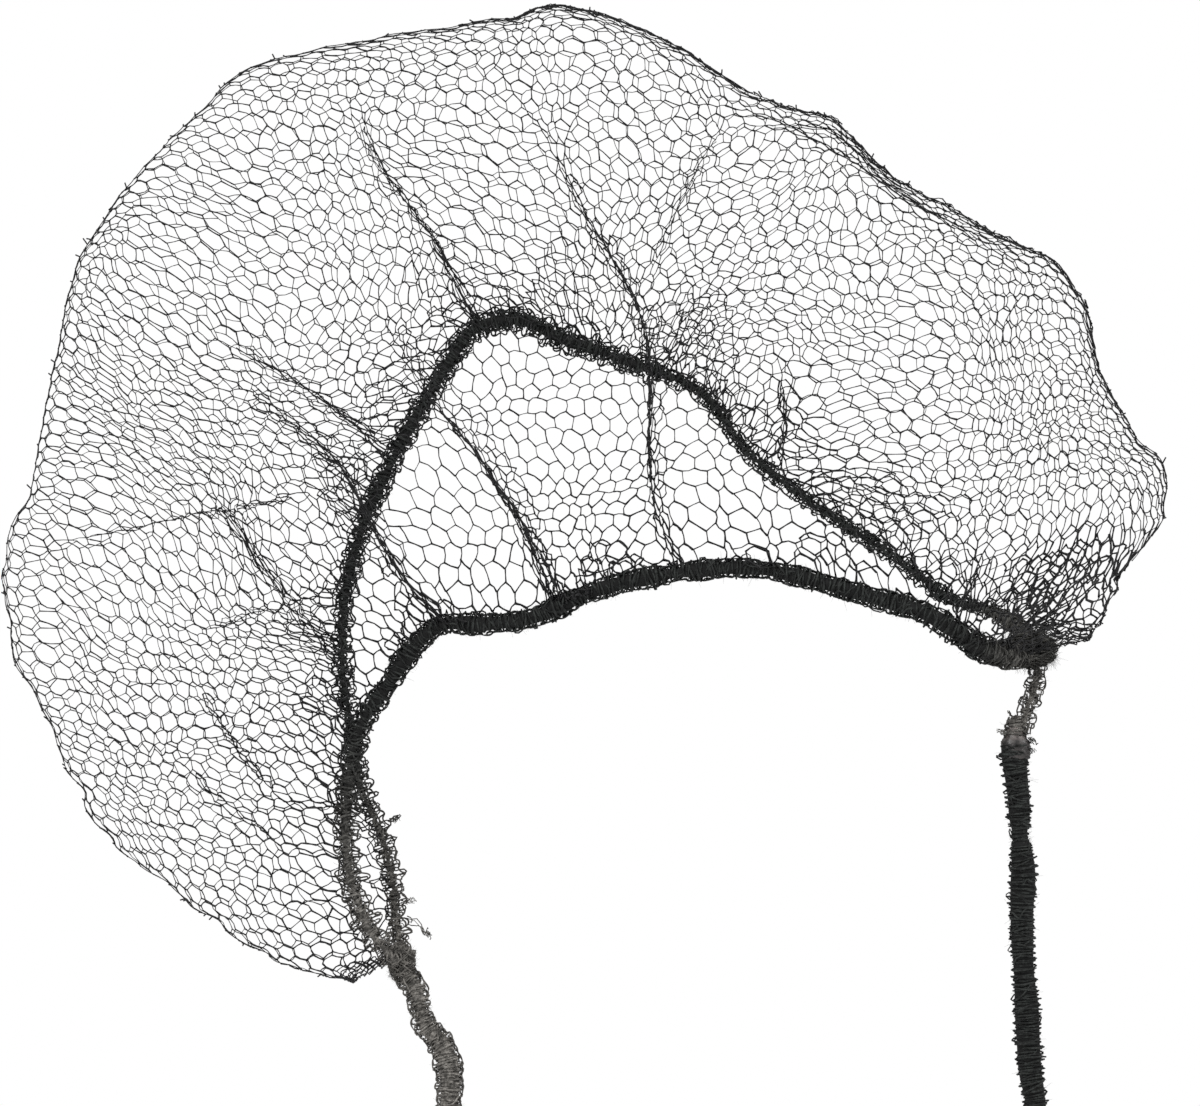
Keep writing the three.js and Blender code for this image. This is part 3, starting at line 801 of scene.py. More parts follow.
def heaped(wall, flat, places, seed, fold):
    """True where the cloth lies in folds: in the heaps, and within a depth of the elastic that a
    wander along it changes by up to 4.5 mm, and that is less towards the left corner. The first
    fold also lies along each crease, widest near its middle, and at the rim from section 13.5 to 20."""
    u, t = np.nan_to_num(places, nan=-1).T
    grid, length = WALLS[wall]
    s = np.interp(u, U, run_of(grid[:, 0]))
    d = t * np.interp(u, U, length)
    calm = np.interp(u * LAST, [0, 2, 6, 9], [0.3, 0.35, 0.5, 1])
    folded = d < (FOLD_DEPTH[wall][fold - 1] + 4.5 * wander(s, seed + 70, 22 * MM)) * calm * MM
    folded &= u > 0.07
    for centre, radius in HEAPS[wall]:
        placed = flat_of_plan(wall, np.array([centre]) * MM)
        folded |= np.linalg.norm(flat - placed, axis=1) < HEAP_SHARE[fold - 1] * radius * MM
    if fold > 1:
        return folded
    section = u * LAST
    folded |= (t > 0.965 + 0.015 * wander(u, seed + 71, 0.03)) & (section > 13.5) & (section < 20)
    for line, _, width, _ in CREASES[wall]:
        share = np.linspace(0.05, 1, 90)
        curve = catmull_rom(flat_of_plan(wall, np.array(line) * MM), share)
        box = (flat > curve.min(0) - 3 * MM).all(axis=1) & (flat < curve.max(0) + 3 * MM).all(axis=1)
        gap = np.linalg.norm(flat[box][:, None] - curve[None], axis=2)
        reach = 1.3 * (width - 1.1) * MM * np.sin(np.pi * share[gap.argmin(1)] ** 0.8)
        folded[box] |= gap.min(1) < reach
    return folded


INDEPENDENT = 14 * MM  # this far in from the rim, the two walls' patterns have nothing in common
BACK_SHIFT = 1.4 * MM  # the back wall's pattern is moved by half a cell both ways
FRONT_MIDDLE = np.array([-15, 17]) * MM  # where the front wall's cells are smallest


def pattern(wall, seed, fold=0):
    """The honeycomb's corners on the wall as (u, t), with its sides. Both walls start from the same
    pushed pattern, and each adds pushes of its own that fade out towards the shared rim. A fold is
    the same pattern, shifted: the part of it that heaped(...) keeps, less its loose ends, lies on
    top of the first."""
    corners, sides, kind = hexagons((-150 * MM, -110 * MM), (130 * MM, 130 * MM))
    shared = fanned(corners + fold * np.array([0.45 * CELL, 0.3 * ROW]))
    shared = shared + waves(shared, 3, 1.6 * MM, 55 * MM)
    shared = all_creased(shared, "front", "both")
    shared = bunched(shared, RIGHT_CORNER, 22 * MM, 0.6)
    shared = bunched(shared, LEFT_CORNER, 15 * MM, 0.3)
    u, t = unrolled(wall, shared).T
    from_rim = np.abs(1 - t) * np.interp(np.nan_to_num(u), U, np.linalg.norm(RIM - ROOTS[wall], axis=1))
    free = ramp(np.nan_to_num(from_rim), 0, INDEPENDENT)[:, None]
    own = shared.copy()
    if wall == "back":
        own = own + waves(own, 21, 2.4 * MM, 42 * MM) + waves(own, 22, 2.5 * MM, 80 * MM) + BACK_SHIFT
    else:
        own = bunched(own, FRONT_MIDDLE, 46 * MM, np.array([0.37, 0.15]))
    own = own + waves(own, seed, 0.5 * MM, 14 * MM, 9)
    own = all_creased(own, wall, wall)
    flat = shared + (own - shared) * free
    flat = flat + np.random.default_rng(seed).normal(0, 0.17 * MM, flat.shape) * (0.3 + 0.7 * free)
    places = gathered(wall, unrolled(wall, flat), seed)
    if fold:
        sides_kept = heaped(wall, flat, places, seed, fold)[sides].all(axis=1)
        sides, kind = sides[sides_kept], kind[sides_kept]
        for _ in range(3):
            joined = (np.bincount(sides.ravel(), minlength=len(places))[sides] > 1).all(axis=1)
            sides, kind = sides[joined], kind[joined]
    return places, sides, kind


def clipped(ends):
    """The shares (start, stop) of each side from ends (side, end, (u, t)) that lie inside 0..1 in
    both u and t. A side wholly outside gets a stop below its start."""
    start, stop = np.zeros(len(ends)), np.ones(len(ends))
    for axis in range(2):
        for sign, bound in ((1, 0.0), (-1, 1.0)):
            a, b = (sign * (ends[:, :, axis] - bound)).T
            crossing = a / np.where(a == b, 1, a - b)
            start = np.where((a < 0) & (b > 0), np.maximum(start, crossing), start)
            stop = np.where((a > 0) & (b < 0), np.minimum(stop, crossing), stop)
            stop = np.where((a <= 0) & (b <= 0), -1.0, stop)
    return start, stop


# %% [markdown]
# ## Threads of the netting
# Every side of a cell is a thread of its own: thick where it is knotted to its neighbours, thin
# and slightly bowed in the middle. Three rings and two end points are enough, because there are
# thousands of them. The sides that fall to the right carry two yarns, so they are thicker.

# %% Netting pieces
NET_THREAD = {"front": 0.096 * MM, "back": 0.077 * MM}
DOUBLED = 1.3
KNOT = 1.3


def ruffled(places, seed):
    """A random step of each corner, up to a few tenths of a millimetre, where the netting is heaped
    over the rim between sections 13 and 20, from a tenth of the width inside the rim, and beside
    the right corner."""
    u, t = np.nan_to_num(places).T
    piled = ramp(u * LAST, 12.5, 15) * ramp(u * LAST, 21.5, 19.5) * ramp(t, 0.86, 0.97)
    piled = np.maximum(piled, 1.1 * ramp(u * LAST, 20.9, 22.2))
    return np.random.default_rng(seed + 7).normal(0, 0.2 * MM, (len(places), 3)) * piled[:, None]


def net_paths(wall, seed, fold=0):
    """(paths, kind, cut, middle): three points for each side of the wall's cells, its kind, the u of
    each cut at the rim, and each side's middle as (u, t)."""
    places, sides, kind = pattern(wall, seed, fold)
    ends = places[sides]
    good = np.isfinite(ends).all(axis=(1, 2))
    ends, kind, step = ends[good], kind[good], ruffled(places, seed)[sides][good]
    start, stop = clipped(ends)
    kept = stop > start + 0.03
    ends, kind, step, start, stop = ends[kept], kind[kept], step[kept], start[kept], stop[kept]
    share = start[:, None] + (stop - start)[:, None] * np.array([0.0, 0.5, 1.0])
    where = ends[:, :1] + (ends[:, 1:] - ends[:, :1]) * share[..., None]
    points = on_wall(wall, where[..., 0], where[..., 1])
    points = points + step[:, :1] + (step[:, 1:] - step[:, :1]) * share[..., None]
    cut = where[(np.abs(where[..., 1] - 1) < 1e-6)][:, 0]
    return points, kind, cut, where[:, 1]


def slackness(wall, places, points):
    """How slack the threads are, so that they curl and thicken: exp(-d / 9 mm) at a distance d from
    the elastic, or 0.9 inside the heaps."""
    u, t = places.T
    slack = np.exp(-t * np.interp(u, U, WALLS[wall][1]) / (9 * MM))
    for centre, radius in HEAPS[wall]:
        gap = np.linalg.norm(points[:, ::2] - np.array(centre) * MM, axis=1)
        slack = np.maximum(slack, 0.9 * ramp(gap, 1.3 * radius * MM, 0.8 * radius * MM))
    return slack


def make_netting(wall, seed):
    """One wall's threads and its folds' as one piece, and where they cross the rim."""
    rng = np.random.default_rng(seed + 100)
    layers = [net_paths(wall, seed + 1000 * fold, fold) for fold in range(3)]
    paths = np.concatenate([layer[0] for layer in layers])
    kind = np.concatenate([layer[1] for layer in layers])
    _, across, over = frames(paths)
    count = (len(paths), 1)
    slack = slackness(wall, np.concatenate([layer[3] for layer in layers]), paths[:, 1])
    bow = rng.normal(0, 1, count) * across[:, 1] * 0.08 * MM
    bow = bow + rng.normal(0, 1, count) * over[:, 1] * 0.05 * MM
    paths[:, 1] += bow * (1 + slack[:, None])
    thick = NET_THREAD[wall] * np.where(kind == 1, DOUBLED, 1.0) * rng.lognormal(0, 0.14, len(paths))
    thick = thick * (1 + 0.75 * slack)
    radius = thick[:, None] * np.array([KNOT, 0.92, KNOT])
    return new_piece(f"netting_{wall}_threads", threads(paths, radius, sides=3, painted_light=0.5)), layers[0][2]


net_front, cuts_front = make_netting("front", 5)
net_back, cuts_back = make_netting("back", 6)

# %% [markdown]
# Where the netting turns over at the rim, the outermost threads lie along the edge. A fine thread
# joins each place where a side crosses the rim to the next, sagging a little towards the mouth,
# and here and there a knot stands proud as a short stub.


# %% The turned edge of the netting
SAME_CUT = 0.0008  # cuts closer than this share of the pouch's outline count as one
WIDEST_GAP = 0.03  # and gaps wider than this one aren't bridged
RIM_SAG = 0.9 * MM
WALL_WIDTH = 60 * MM  # from the mouth to the rim, about


def ends_of_netting(wall, end, seed):
    """Four threads drawn together along a wall's end, from the elastic to the rim: at the share t of
    the way they stand up to a hundredth of the pouch inside the end, and wander by 0.3 mm."""
    t = np.tile(np.linspace(0.0, 1.0, 40), (4, 1))
    inside = np.array([0.0, 0.002, 0.004, 0.007])[:, None] * (0.4 + 1.2 * np.sin(np.pi * t))
    paths = on_wall(wall, np.abs(end - inside), t)
    swing = np.stack([wander(t + 3 * k, seed + k, 0.14) for k in range(3)], axis=-1)
    return threads(paths + 0.2 * MM * swing, NET_THREAD["front"] * 1.1, painted_light=0.5)


def make_rim():
    """Rim threads between neighbouring cuts, and stubs. A rim thread is on_wall at t = 1 - sag
    sin(pi s) from s = 0 at one cut to 1 at the next, and half of the stubs are too short to see."""
    rng = np.random.default_rng(31)
    cuts = np.sort(np.concatenate([cuts_front, cuts_back]))
    cuts = cuts[np.concatenate([[True], np.diff(cuts) > SAME_CUT])]
    first, second = cuts[:-1], cuts[1:]
    close = second - first < WIDEST_GAP
    first, second = first[close], second[close]
    s = np.linspace(0, 1, 5)[None]
    u = first[:, None] + (second - first)[:, None] * s
    sag = rng.uniform(0.0, RIM_SAG, (len(first), 1)) / WALL_WIDTH * np.sin(np.pi * s)
    paths = on_wall("front", u, 1 - sag)
    stub_root = on_wall("front", cuts, np.ones_like(cuts))
    out_x, out_z = rows_at(cuts, U, OUTWARD).T
    outward = np.stack([out_x, 0 * cuts, out_z], axis=-1)
    lean = outward + rng.normal(0, 0.5, outward.shape)
    long = rng.uniform(0.1, 0.55, (len(cuts), 1, 1)) * MM * (rng.uniform(0, 1, (len(cuts), 1, 1)) < 0.5)
    stubs = stub_root[:, None] + (long + 0.05 * MM) * lean[:, None] * np.linspace(0, 1, 3)[None, :, None]
    shell = merged(
        threads(paths, NET_THREAD["front"] * 0.75, painted_light=0.5),
        threads(stubs, NET_THREAD["front"] * 1.2, painted_light=0.5),
        *[ends_of_netting(wall, end, 32 + end) for wall in WALLS for end in (0, 1)],
    )
    return new_piece("netting_rim_threads", shell)


net_rim = make_rim()

# %% [markdown]
# ## The edging
# The mouth's edging is the same knitted elastic, relaxed and open at the lower left and tight over
# the top. Each half follows its edge curve from corner to corner. Its core and its lace change
# width along the way, given by short tables of share of the length against millimetres.

# %% Edge bands
# Rows: share of the length, half width of the core, height of the lace, in millimetres.
FRONT_BAND = [
    (0.0, 1.15, 0.9), (0.1, 1.0, 1.15), (0.22, 1.05, 1.0), (0.3, 1.45, 0.35), (0.5, 1.5, 0.25),
    (0.7, 1.4, 0.25), (0.85, 1.6, 0.3), (0.95, 1.9, 0.35), (1.0, 2.0, 0.4),
]
BACK_BAND = [
    (0.0, 1.0, 1.0), (0.08, 0.75, 1.15), (0.2, 0.8, 1.0), (0.36, 1.2, 0.75), (0.45, 1.2, 0.7),
    (0.52, 1.4, 0.85), (0.58, 1.35, 0.85), (0.66, 0.85, 0.75), (0.78, 0.7, 0.75), (0.88, 0.8, 0.7),
    (0.95, 0.95, 0.55), (1.0, 1.3, 0.4),
]
LEFT_JOIN = np.array([-38.1, 0, -54.9]) * MM
RIGHT_KNOT = np.array([61.7, -9, -4.6]) * MM


def make_band(name, edge, table, seed, fibres):
    """One half of the edging from the left join along its edge into the right knot."""
    middle = catmull_rom(edge, np.linspace(0.004, 0.996, 400))
    path = evenly(np.vstack([LEFT_JOIN, middle, RIGHT_KNOT]), STEP * MM)
    run = run_of(path) / run_of(path)[-1]
    share, core, lace = np.array(table).T
    half = np.interp(run, share, core) * MM * (1 + 0.08 * wander(run, seed, 0.05))
    tall = np.interp(run, share, lace) * MM
    shell = elastic(path, half, tall, 0.68 * MM, 1.35 * MM, seed, fibres, depth=0.8, loose=0.35)
    return new_piece(name, shell)


front_band = make_band("front_edge_elastic", FRONT_EDGE, FRONT_BAND, 51, 1900)
back_band = make_band("back_edge_elastic", BACK_EDGE, BACK_BAND, 61, 1200)

# %% [markdown]
# ## Corners, tail and splice
# At the right corner the bands and the netting's end are drawn into one dark fuzzy knot. A narrow
# open tail of the same knitting hangs from it to the splice, where a small patch of glue holds it to
# the strap. At the left corner the bands simply run together into the strap. Each lump is a skein:
# arcs of yarn wound at random over an ellipsoid, which gives the look of tangled knitting without a
# single modelled stitch.

# %% Skeins
TAIL_ROUTE = [
    (0.0628, -0.0096, -0.0060), (0.0627, -0.0100, -0.0090), (0.0622, -0.0104, -0.0114),
    (0.0612, -0.0108, -0.0134), (0.0608, -0.0110, -0.0155), (0.0602, -0.0112, -0.0180),
]
SPLICE_ROUTE = [
    (0.0592, -0.0112, -0.0150), (0.0592, -0.0114, -0.0170), (0.0592, -0.0116, -0.0195),
    (0.0593, -0.0117, -0.0212), (0.0594, -0.0118, -0.0228),
]


def skein(centre, half, count, yarn, seed):
    """Arcs of yarn over an ellipsoid: the direction (cos b cos a, cos b sin a, sin b), where a runs on
    and b swings with it, times half and a depth of 0.55 to 1 that each arc has for itself."""
    rng = np.random.default_rng(seed)
    t = np.linspace(0, 1, 12)[None]
    start = rng.uniform(0, 2 * np.pi, (count, 1))
    a = start + t * rng.uniform(1.2, 4, (count, 1)) * rng.choice([-1, 1], (count, 1))
    b = np.arcsin(rng.uniform(-0.95, 0.95, (count, 1))) + 0.6 * np.sin(0.9 * a + 2 * start)
    b = np.clip(b, -1.45, 1.45)
    way = np.stack([np.cos(b) * np.cos(a), np.cos(b) * np.sin(a), np.sin(b)], axis=-1)
    deep = rng.uniform(0.55, 1.0, (count, 1, 1))
    paths = np.asarray(centre) + way * deep * np.asarray(half)
    paths = paths + rng.normal(0, 0.08 * MM, paths.shape)
    return threads(paths, yarn * rng.uniform(0.7, 1.2, (count, 1)), sides=3, painted_light=0.7)


def ball_fuzz(centre, half, count, length, seed):
    """Fibres all round an ellipsoid: fuzz along its long x axis, whose widths there are those of the
    ellipsoid, sqrt(1 - x^2)."""
    x = np.linspace(-0.97, 0.97, 24)
    path = np.asarray(centre) + np.stack([x * half[0], 0 * x, 0 * x], axis=-1)
    ring = np.sqrt(1 - x**2)
    return fuzz(path, half[2] * ring, half[1] * ring, count, length, seed)


def frays(rows, seed):
    """Broken threads. From the point of each row, count threads set off along (dx, dz), curl by a
    wander across it, and end a little short or long."""
    rng = np.random.default_rng(seed)
    t = np.linspace(0, 1, 12)
    shells = []
    for x, y, z, dx, dz, count in rows:
        for _ in range(count):
            way = np.array([dx, rng.normal(0, 0.4), dz]) * rng.uniform(0.6, 1.15)
            curl = np.stack([wander(t, rng.integers(9999), 0.5) for _ in range(3)], axis=-1)
            path = np.array([x, y, z]) + rng.normal(0, 0.2, 3) + t[:, None] * way
            path = path + curl * (0.3 * np.linalg.norm(way) * t * (1.3 - t))[:, None]
            thick = rng.uniform(0.055, 0.11) * MM * (1 - 0.3 * t)
            shells.append(threads(path[None] * MM, thick[None], painted_light=0.6))
    return merged(*shells)


# %% Tail and splice
# Broken threads: where they come out (x, y, z) and which way they go (dx, dz), in millimetres, and
# how many there are.
SPLICE_FRAYS = [
    (57.6, -12.4, -17.6, -1.3, 0.2, 5), (61.3, -12.2, -18.6, 1.0, -0.6, 6),
    (61.2, -12, -20, 0.8, -0.9, 4), (58.6, -11.6, -15.2, -0.5, 1.0, 5),
]
SPLICE_HALF = ([0, 0.25, 0.6, 1], [0.9, 1.5, 1.75, 1.85])  # share of its length, half width in mm


def make_tail():
    """The open knitted tail between the right knot and the splice."""
    path = smooth(TAIL_ROUTE, STEP * MM)
    plain = np.ones(len(path)) * MM
    shell = elastic(
        path, 0.9 * plain, 0.85 * plain, 0.7 * MM, 1.5 * MM, 72, 260,
        depth=0.8, yarn=0.15 * MM, loose=0.35,
    )
    return new_piece("strap_tail_elastic", shell)


def make_splice():
    """The strap's frayed top round the tail's end."""
    path = smooth(SPLICE_ROUTE, 0.3 * MM)
    run = run_of(path) / run_of(path)[-1]
    half = np.interp(run, *SPLICE_HALF) * MM
    shell = merged(elastic(path, half, 0.25 * half, RIB, 1.2 * MM, 83, 260), frays(SPLICE_FRAYS, 84))
    return new_piece("splice_elastic", shell)


strap_tail = make_tail()
splice = make_splice()

# %% The glue
FILM_TOP = np.array([59.1, -11.3, -16.8])  # in millimetres, as all the film's sizes are
FILM_RUN = np.array([0.3, -0.5, -5.0])  # from its top to its bottom


def make_bond():
    """A film round the splice. At the share v of its height and the angle a, its half widths are
    1.35 + 0.85 ramp(v) and 1.05 + 0.5 ramp(v), swollen by a wander, and its ends wander by 0.6."""
    v = np.linspace(0, 1, 21)[:, None]
    turn = np.linspace(0, 2 * np.pi, 44, endpoint=False)[None]
    ragged = 0.6 * wander(np.sin(turn) + 2 * np.cos(turn), 91, 1.3)
    wide = ramp(v, 0.2, 0.5)
    swell = 1 - 0.12 * (2 * v - 1) ** 6 + 0.06 * wander(2 * turn + 9 * v, 92, 1.1)
    x = FILM_TOP[0] + FILM_RUN[0] * v + (1.35 + 0.85 * wide) * np.cos(turn) * swell
    y = FILM_TOP[1] + FILM_RUN[1] * v - (1.05 + 0.5 * wide) * np.sin(turn) * swell
    z = FILM_TOP[2] + FILM_RUN[2] * v + ragged * (1 - 2 * v)
    rings = np.stack([x, y, z], axis=-1)[None] * MM
    top, bottom = FILM_TOP[None] * MM, (FILM_TOP + FILM_RUN)[None] * MM
    return new_piece("splice_glue", shell_of(rings, top, bottom, painted_light=0.7))


splice_glue = make_bond()

# %% The knot and the join
KNOT_HALF = np.array([4.5, 3.2, 3.0]) * MM
JOIN_HALF = np.array([2.2, 2.4, 3.4]) * MM
# Broken threads above the join, in the columns of the splice's.
JOIN_FRAYS = [
    (-40.4, 8.5, -32.6, 1.9, 0.7, 9), (-38.6, 7.5, -45.2, 2.0, 0.1, 4),
    (-37.8, 6, -48, 3.6, -2.7, 3), (-34.5, 5, -50.4, 0.9, -0.6, 6),
]


def make_right_knot():
    """The knot: a skein, with long fibres all round."""
    yarn = skein(RIGHT_KNOT, KNOT_HALF, 400, 0.12 * MM, 82)
    return new_piece("right_knot_yarn", merged(yarn, ball_fuzz(RIGHT_KNOT, KNOT_HALF, 1300, 1.0 * MM, 85)))


def make_left_join():
    """The join: a skein with a short nap, and the broken threads along the bands above it."""
    yarn = skein(LEFT_JOIN, JOIN_HALF, 300, 0.11 * MM, 81)
    nap = ball_fuzz(LEFT_JOIN, JOIN_HALF, 900, 0.6 * MM, 86)
    return new_piece("left_join_yarn", merged(yarn, nap, frays(JOIN_FRAYS, 87)))


right_knot = make_right_knot()
left_join = make_left_join()

# %% [markdown]
# ## Finishes
# There are three. The netting's nylon is a fine black thread with a little shine. The elastic's
# yarn is dull, crimped and black, with painted shade in its grooves and painted light on its crests,
# and a painted backlight glare turns it a warm grey down the left corner, along the strap's start
# and round the tail and the knot. The glue has dried into the yarn and is glossy. The yarn's colour
# comes from these two painted numbers on each point, broken up by two sizes of noise, and its
# fibres are a fine bump. Both effects are in one node group.


# %% Small tools for node trees
def socket(tree, name, kind, way, value=None):
    """A named input or output of a node group."""
    item = tree.interface.new_socket(name, in_out=way, socket_type=kind)
    if value is not None:
        item.default_value = value


def linked(tree, kind, inputs=None, **settings):
    """A new node of one kind with its settings, whose inputs are numbers, colours or outputs."""
    node = tree.nodes.new(kind)
    for key, value in settings.items():
        setattr(node, key, value)
    for key, value in (inputs or {}).items():
        if isinstance(value, bpy.types.NodeSocket):
            tree.links.new(value, node.inputs[key])
        else:
            node.inputs[key].default_value = value
    return node


def noise(tree, scale, detail):
    """Cloudy noise on the piece's own coordinates, from 0 to 1. A higher scale is finer."""
    place = linked(tree, "ShaderNodeTexCoord").outputs["Object"]
    inputs = {"Vector": place, "Scale": scale, "Detail": detail}
    return linked(tree, "ShaderNodeTexNoise", inputs).outputs["Fac"]


def attribute(tree, name):
    """The number that a piece's points carry under a name."""
    return linked(tree, "ShaderNodeAttribute", attribute_name=name).outputs["Fac"]


def stretched(tree, value, low, high, to_low, to_high):
    """value taken from the range low to high to the range to_low to to_high, and held there."""
    inputs = {"Value": value, 1: low, 2: high, 3: to_low, 4: to_high}
    return linked(tree, "ShaderNodeMapRange", inputs).outputs[0]


def times(tree, a, b, held=False):
    """The product of two numbers, held between 0 and 1 if asked."""
    return linked(tree, "ShaderNodeMath", {0: a, 1: b}, operation="MULTIPLY", use_clamp=held).outputs[0]


def mixed(tree, share, first, second):
    """A node that mixes two colours, the first at share 0 and the second at 1, into output 2."""
    return linked(tree, "ShaderNodeMix", {"Factor": share, 6: first, 7: second}, data_type="RGBA")


# %% The yarn
# Painted colours of the yarn: shade in the grooves and light on the crests, for black yarn and for yarn
# under painted backlight glare.
BLACK_YARN_SHADE_AND_LIGHT = ((0.0008, 0.001, 0.001, 1), (0.019, 0.0215, 0.02, 1))
GLARED_YARN_SHADE_AND_LIGHT = ((0.032, 0.03, 0.027, 1), (0.185, 0.175, 0.16, 1))


def make_yarn_group():
    """Painted light to a colour, fibres to a height: the painted light number, roughened by noise,
    mixes painted groove shade and light on the crests, once for black yarn and once for yarn under
    painted backlight glare, and the glare number mixes the two."""
    tree = bpy.data.node_groups.new("crimped_yarn", "ShaderNodeTree")
    socket(tree, "Fibre Size", "NodeSocketFloat", "INPUT", 2600.0)
    socket(tree, "Contrast", "NodeSocketFloat", "INPUT", 1.0)
    socket(tree, "Color", "NodeSocketColor", "OUTPUT")
    socket(tree, "Height", "NodeSocketFloat", "OUTPUT")
    given = tree.nodes.new("NodeGroupInput")
    result = tree.nodes.new("NodeGroupOutput")
    fibres = noise(tree, given.outputs["Fibre Size"], 3.0)
    tufts = noise(tree, 800.0, 2.0)
    grain = stretched(tree, times(tree, fibres, tufts), 0.17, 0.4, 0.05, 1.5)
    rough = times(tree, grain, given.outputs["Contrast"])
    lit = times(tree, attribute(tree, "painted_light"), rough, held=True)
    # The first mix is black yarn, the second yarn under painted backlight glare, each between painted shade
    # in the grooves and painted light on the crests.
    black_shaded_lit, slack = (mixed(tree, lit, *colours).outputs[2] for colours in (BLACK_YARN_SHADE_AND_LIGHT, GLARED_YARN_SHADE_AND_LIGHT))
    colour = mixed(tree, attribute(tree, "pale"), black_shaded_lit, slack)
    tree.links.new(colour.outputs[2], result.inputs["Color"])
    tree.links.new(fibres, result.inputs["Height"])
    return tree


YARN_GROUP = make_yarn_group()


def new_material(name):
    """A new material, with its node tree and its Principled shader."""
    material = bpy.data.materials.new(name)
    material.use_nodes = True
    return material, material.node_tree, material.node_tree.nodes["Principled BSDF"]


def yarn_material(name, contrast, bump, roughness):
    """The crimped yarn in a Principled shader, its fibres as a bump."""
    material, tree, shader = new_material(name)
    yarn = linked(tree, "ShaderNodeGroup", node_tree=YARN_GROUP)
    yarn.inputs["Contrast"].default_value = contrast
    height = {"Height": yarn.outputs["Height"], "Strength": bump, "Distance": 0.1 * MM}
    raised = linked(tree, "ShaderNodeBump", height)
    tree.links.new(yarn.outputs["Color"], shader.inputs["Base Color"])
    tree.links.new(raised.outputs["Normal"], shader.inputs["Normal"])
    shader.inputs["Roughness"].default_value = roughness
    shader.inputs["Specular IOR Level"].default_value = 0.25
    return material


elastic_yarn = yarn_material("edge_elastic", 1.0, 0.5, 0.8)
print("yarn group:", [node.bl_idname for node in YARN_GROUP.nodes].count("ShaderNodeTexNoise"), "noises")


# %% Nylon and glue
# Dark and light colours.
NYLON = ((0.0015, 0.0015, 0.002, 1), (0.006, 0.006, 0.0065, 1))
GLUE = ((0.008, 0.007, 0.007, 1), (0.16, 0.135, 0.125, 1))


def mottled_material(name, colours, size, shine, bump, specular=0.4):
    """A colour between a dark and a light one by a noise of the given scale. shine is the roughness where
    the noise is low and where it is high, and bump the height, in metres, of a noise 8 times finer."""
    material, tree, shader = new_material(name)
    cloud = noise(tree, size, 3.0)
    share = stretched(tree, cloud, 0.38, 0.62, 0.0, 1.0)
    colour = mixed(tree, share, *colours)
    height = {"Height": noise(tree, 8 * size, 2.0), "Strength": 0.6, "Distance": bump}
    raised = linked(tree, "ShaderNodeBump", height)
    tree.links.new(colour.outputs[2], shader.inputs["Base Color"])
    tree.links.new(stretched(tree, cloud, 0.35, 0.65, *shine), shader.inputs["Roughness"])
    tree.links.new(raised.outputs["Normal"], shader.inputs["Normal"])
    shader.inputs["Specular IOR Level"].default_value = specular
    return material, share, colour


def make_glue():
    """Dried glue soaked into yarn: glossy and near black, and pinkish grey in flecks at its top. The
    flecks show only where the painted backlight glare number on its points is high."""
    material, share, colour = mottled_material("splice_glue", GLUE, 900, (0.3, 0.5), 0.03 * MM)
    tree = material.node_tree
    # The painted backlight glare round the tail keeps the glue's pale flecks to its top.
    kept = stretched(tree, attribute(tree, "pale"), 0.0, 0.8, 0.12, 1.0)
    tree.links.new(times(tree, share, kept), colour.inputs["Factor"])
    return material


nylon = mottled_material("net_nylon", NYLON, 350, (0.35, 0.55), 0.005 * MM, specular=0.2)[0]
glue = make_glue()

# %% [markdown]
# ## Joining the pieces to the imported model
# Each piece takes its finish, the one body that there is, and the plain solids that it stands
# for. The table also lists a slot name for each piece.

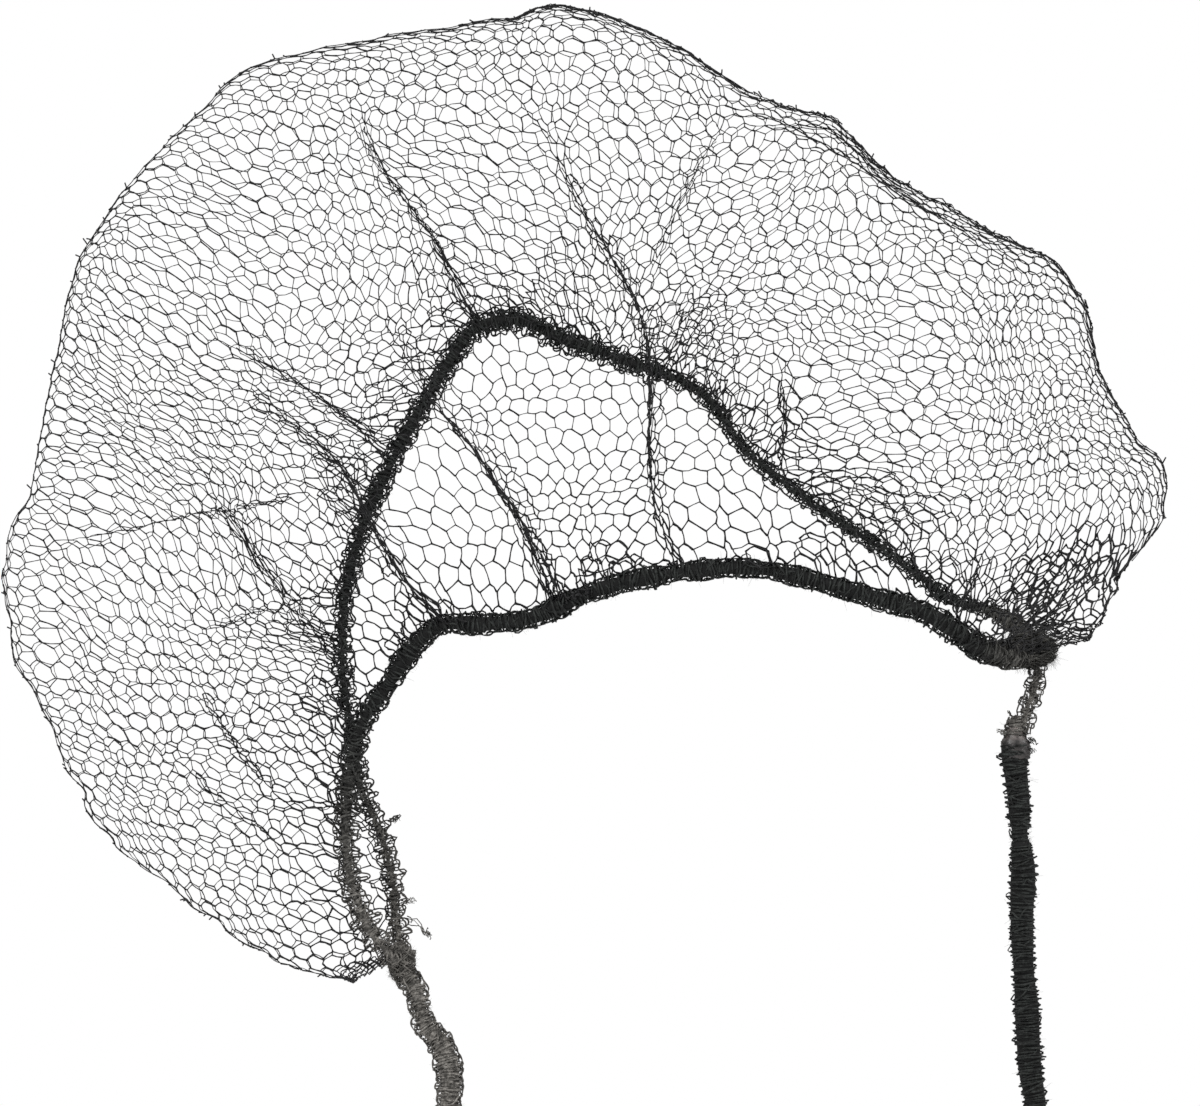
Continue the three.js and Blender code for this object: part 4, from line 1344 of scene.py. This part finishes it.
# %% Materials and bodies
PIECES = [
    (net_front, nylon, "net_nylon", ["netting_front"]),
    (net_back, nylon, "net_nylon", ["netting_back"]),
    (net_rim, nylon, "net_nylon", []),
    (front_band, elastic_yarn, "edge_elastic", ["front_edge_band"]),
    (back_band, elastic_yarn, "edge_elastic", ["back_edge_band"]),
    (left_join, elastic_yarn, "edge_elastic", ["left_corner_join"]),
    (right_knot, elastic_yarn, "edge_elastic", ["right_corner_knot"]),
    (strap_tail, elastic_yarn, "edge_elastic", ["strap_tail"]),
    (splice, elastic_yarn, "edge_elastic", ["strap_splice"]),
    (splice_glue, glue, "edge_elastic", []),
    (head_strap, elastic_yarn, "strap_elastic", ["head_strap"]),
]
for piece, material, slot, nodes in PIECES:
    piece.data.materials.append(material)
    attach(piece, "root")
    if nodes:
        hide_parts(*nodes)

# %% [markdown]
# ## The stage
# Black threads show best against white, so the floor and the whole studio are pale and evenly lit.
# Two lamps, one high at the front left and one at the right, put a little shine on the yarn.

# %% Floor and lights
FLOOR_LEVEL = -0.172
FLOOR_HALF = 0.6
FLOOR_PAINT = ((0.84, 0.84, 0.84, 1), (0.86, 0.86, 0.86, 1))
# Name, place and size in metres, and power in watts.
LAMPS = [("key", (-0.5, -0.75, 0.75), 0.35, 10), ("rim", (0.7, -0.35, 0.5), 0.25, 5)]


def add_light(name, place, size, power):
    """A square light of the given size that faces the middle of the pouch."""
    data = bpy.data.lights.new(name, "AREA")
    data.size = size
    data.energy = power
    light = bpy.data.objects.new(name, data)
    light.location = place
    aim = mathutils.Vector((VIEW_MIDDLE[0], 0, VIEW_MIDDLE[2])) - light.location
    light.rotation_euler = aim.to_track_quat("-Z", "Y").to_euler()
    bpy.context.scene.collection.objects.link(light)


def make_floor():
    """A pale square floor below the strap."""
    mesh = bpy.data.meshes.new("floor")
    around = [(-1, -1), (1, -1), (1, 1), (-1, 1)]
    mesh.from_pydata([(x * FLOOR_HALF, y * FLOOR_HALF, FLOOR_LEVEL) for x, y in around], [], [(0, 1, 2, 3)])
    floor = bpy.data.objects.new("floor", mesh)
    bpy.context.scene.collection.objects.link(floor)
    floor.data.materials.append(mottled_material("floor_paint", FLOOR_PAINT, 30, (0.85, 0.95), 0.1 * MM)[0])


def make_studio():
    """White light from all round."""
    world = bpy.data.worlds.new("studio")
    world.use_nodes = True
    background = world.node_tree.nodes["Background"]
    background.inputs["Color"].default_value = (1, 1, 1, 1)
    background.inputs["Strength"].default_value = 1.0
    bpy.context.scene.world = world


make_floor()
make_studio()
for lamp in LAMPS:
    add_light(*lamp)
print("stage:", len(LAMPS), "lamps over a floor at", FLOOR_LEVEL, "m")

# %% View transform, and the end
bpy.context.scene.view_settings.view_transform = "Standard"
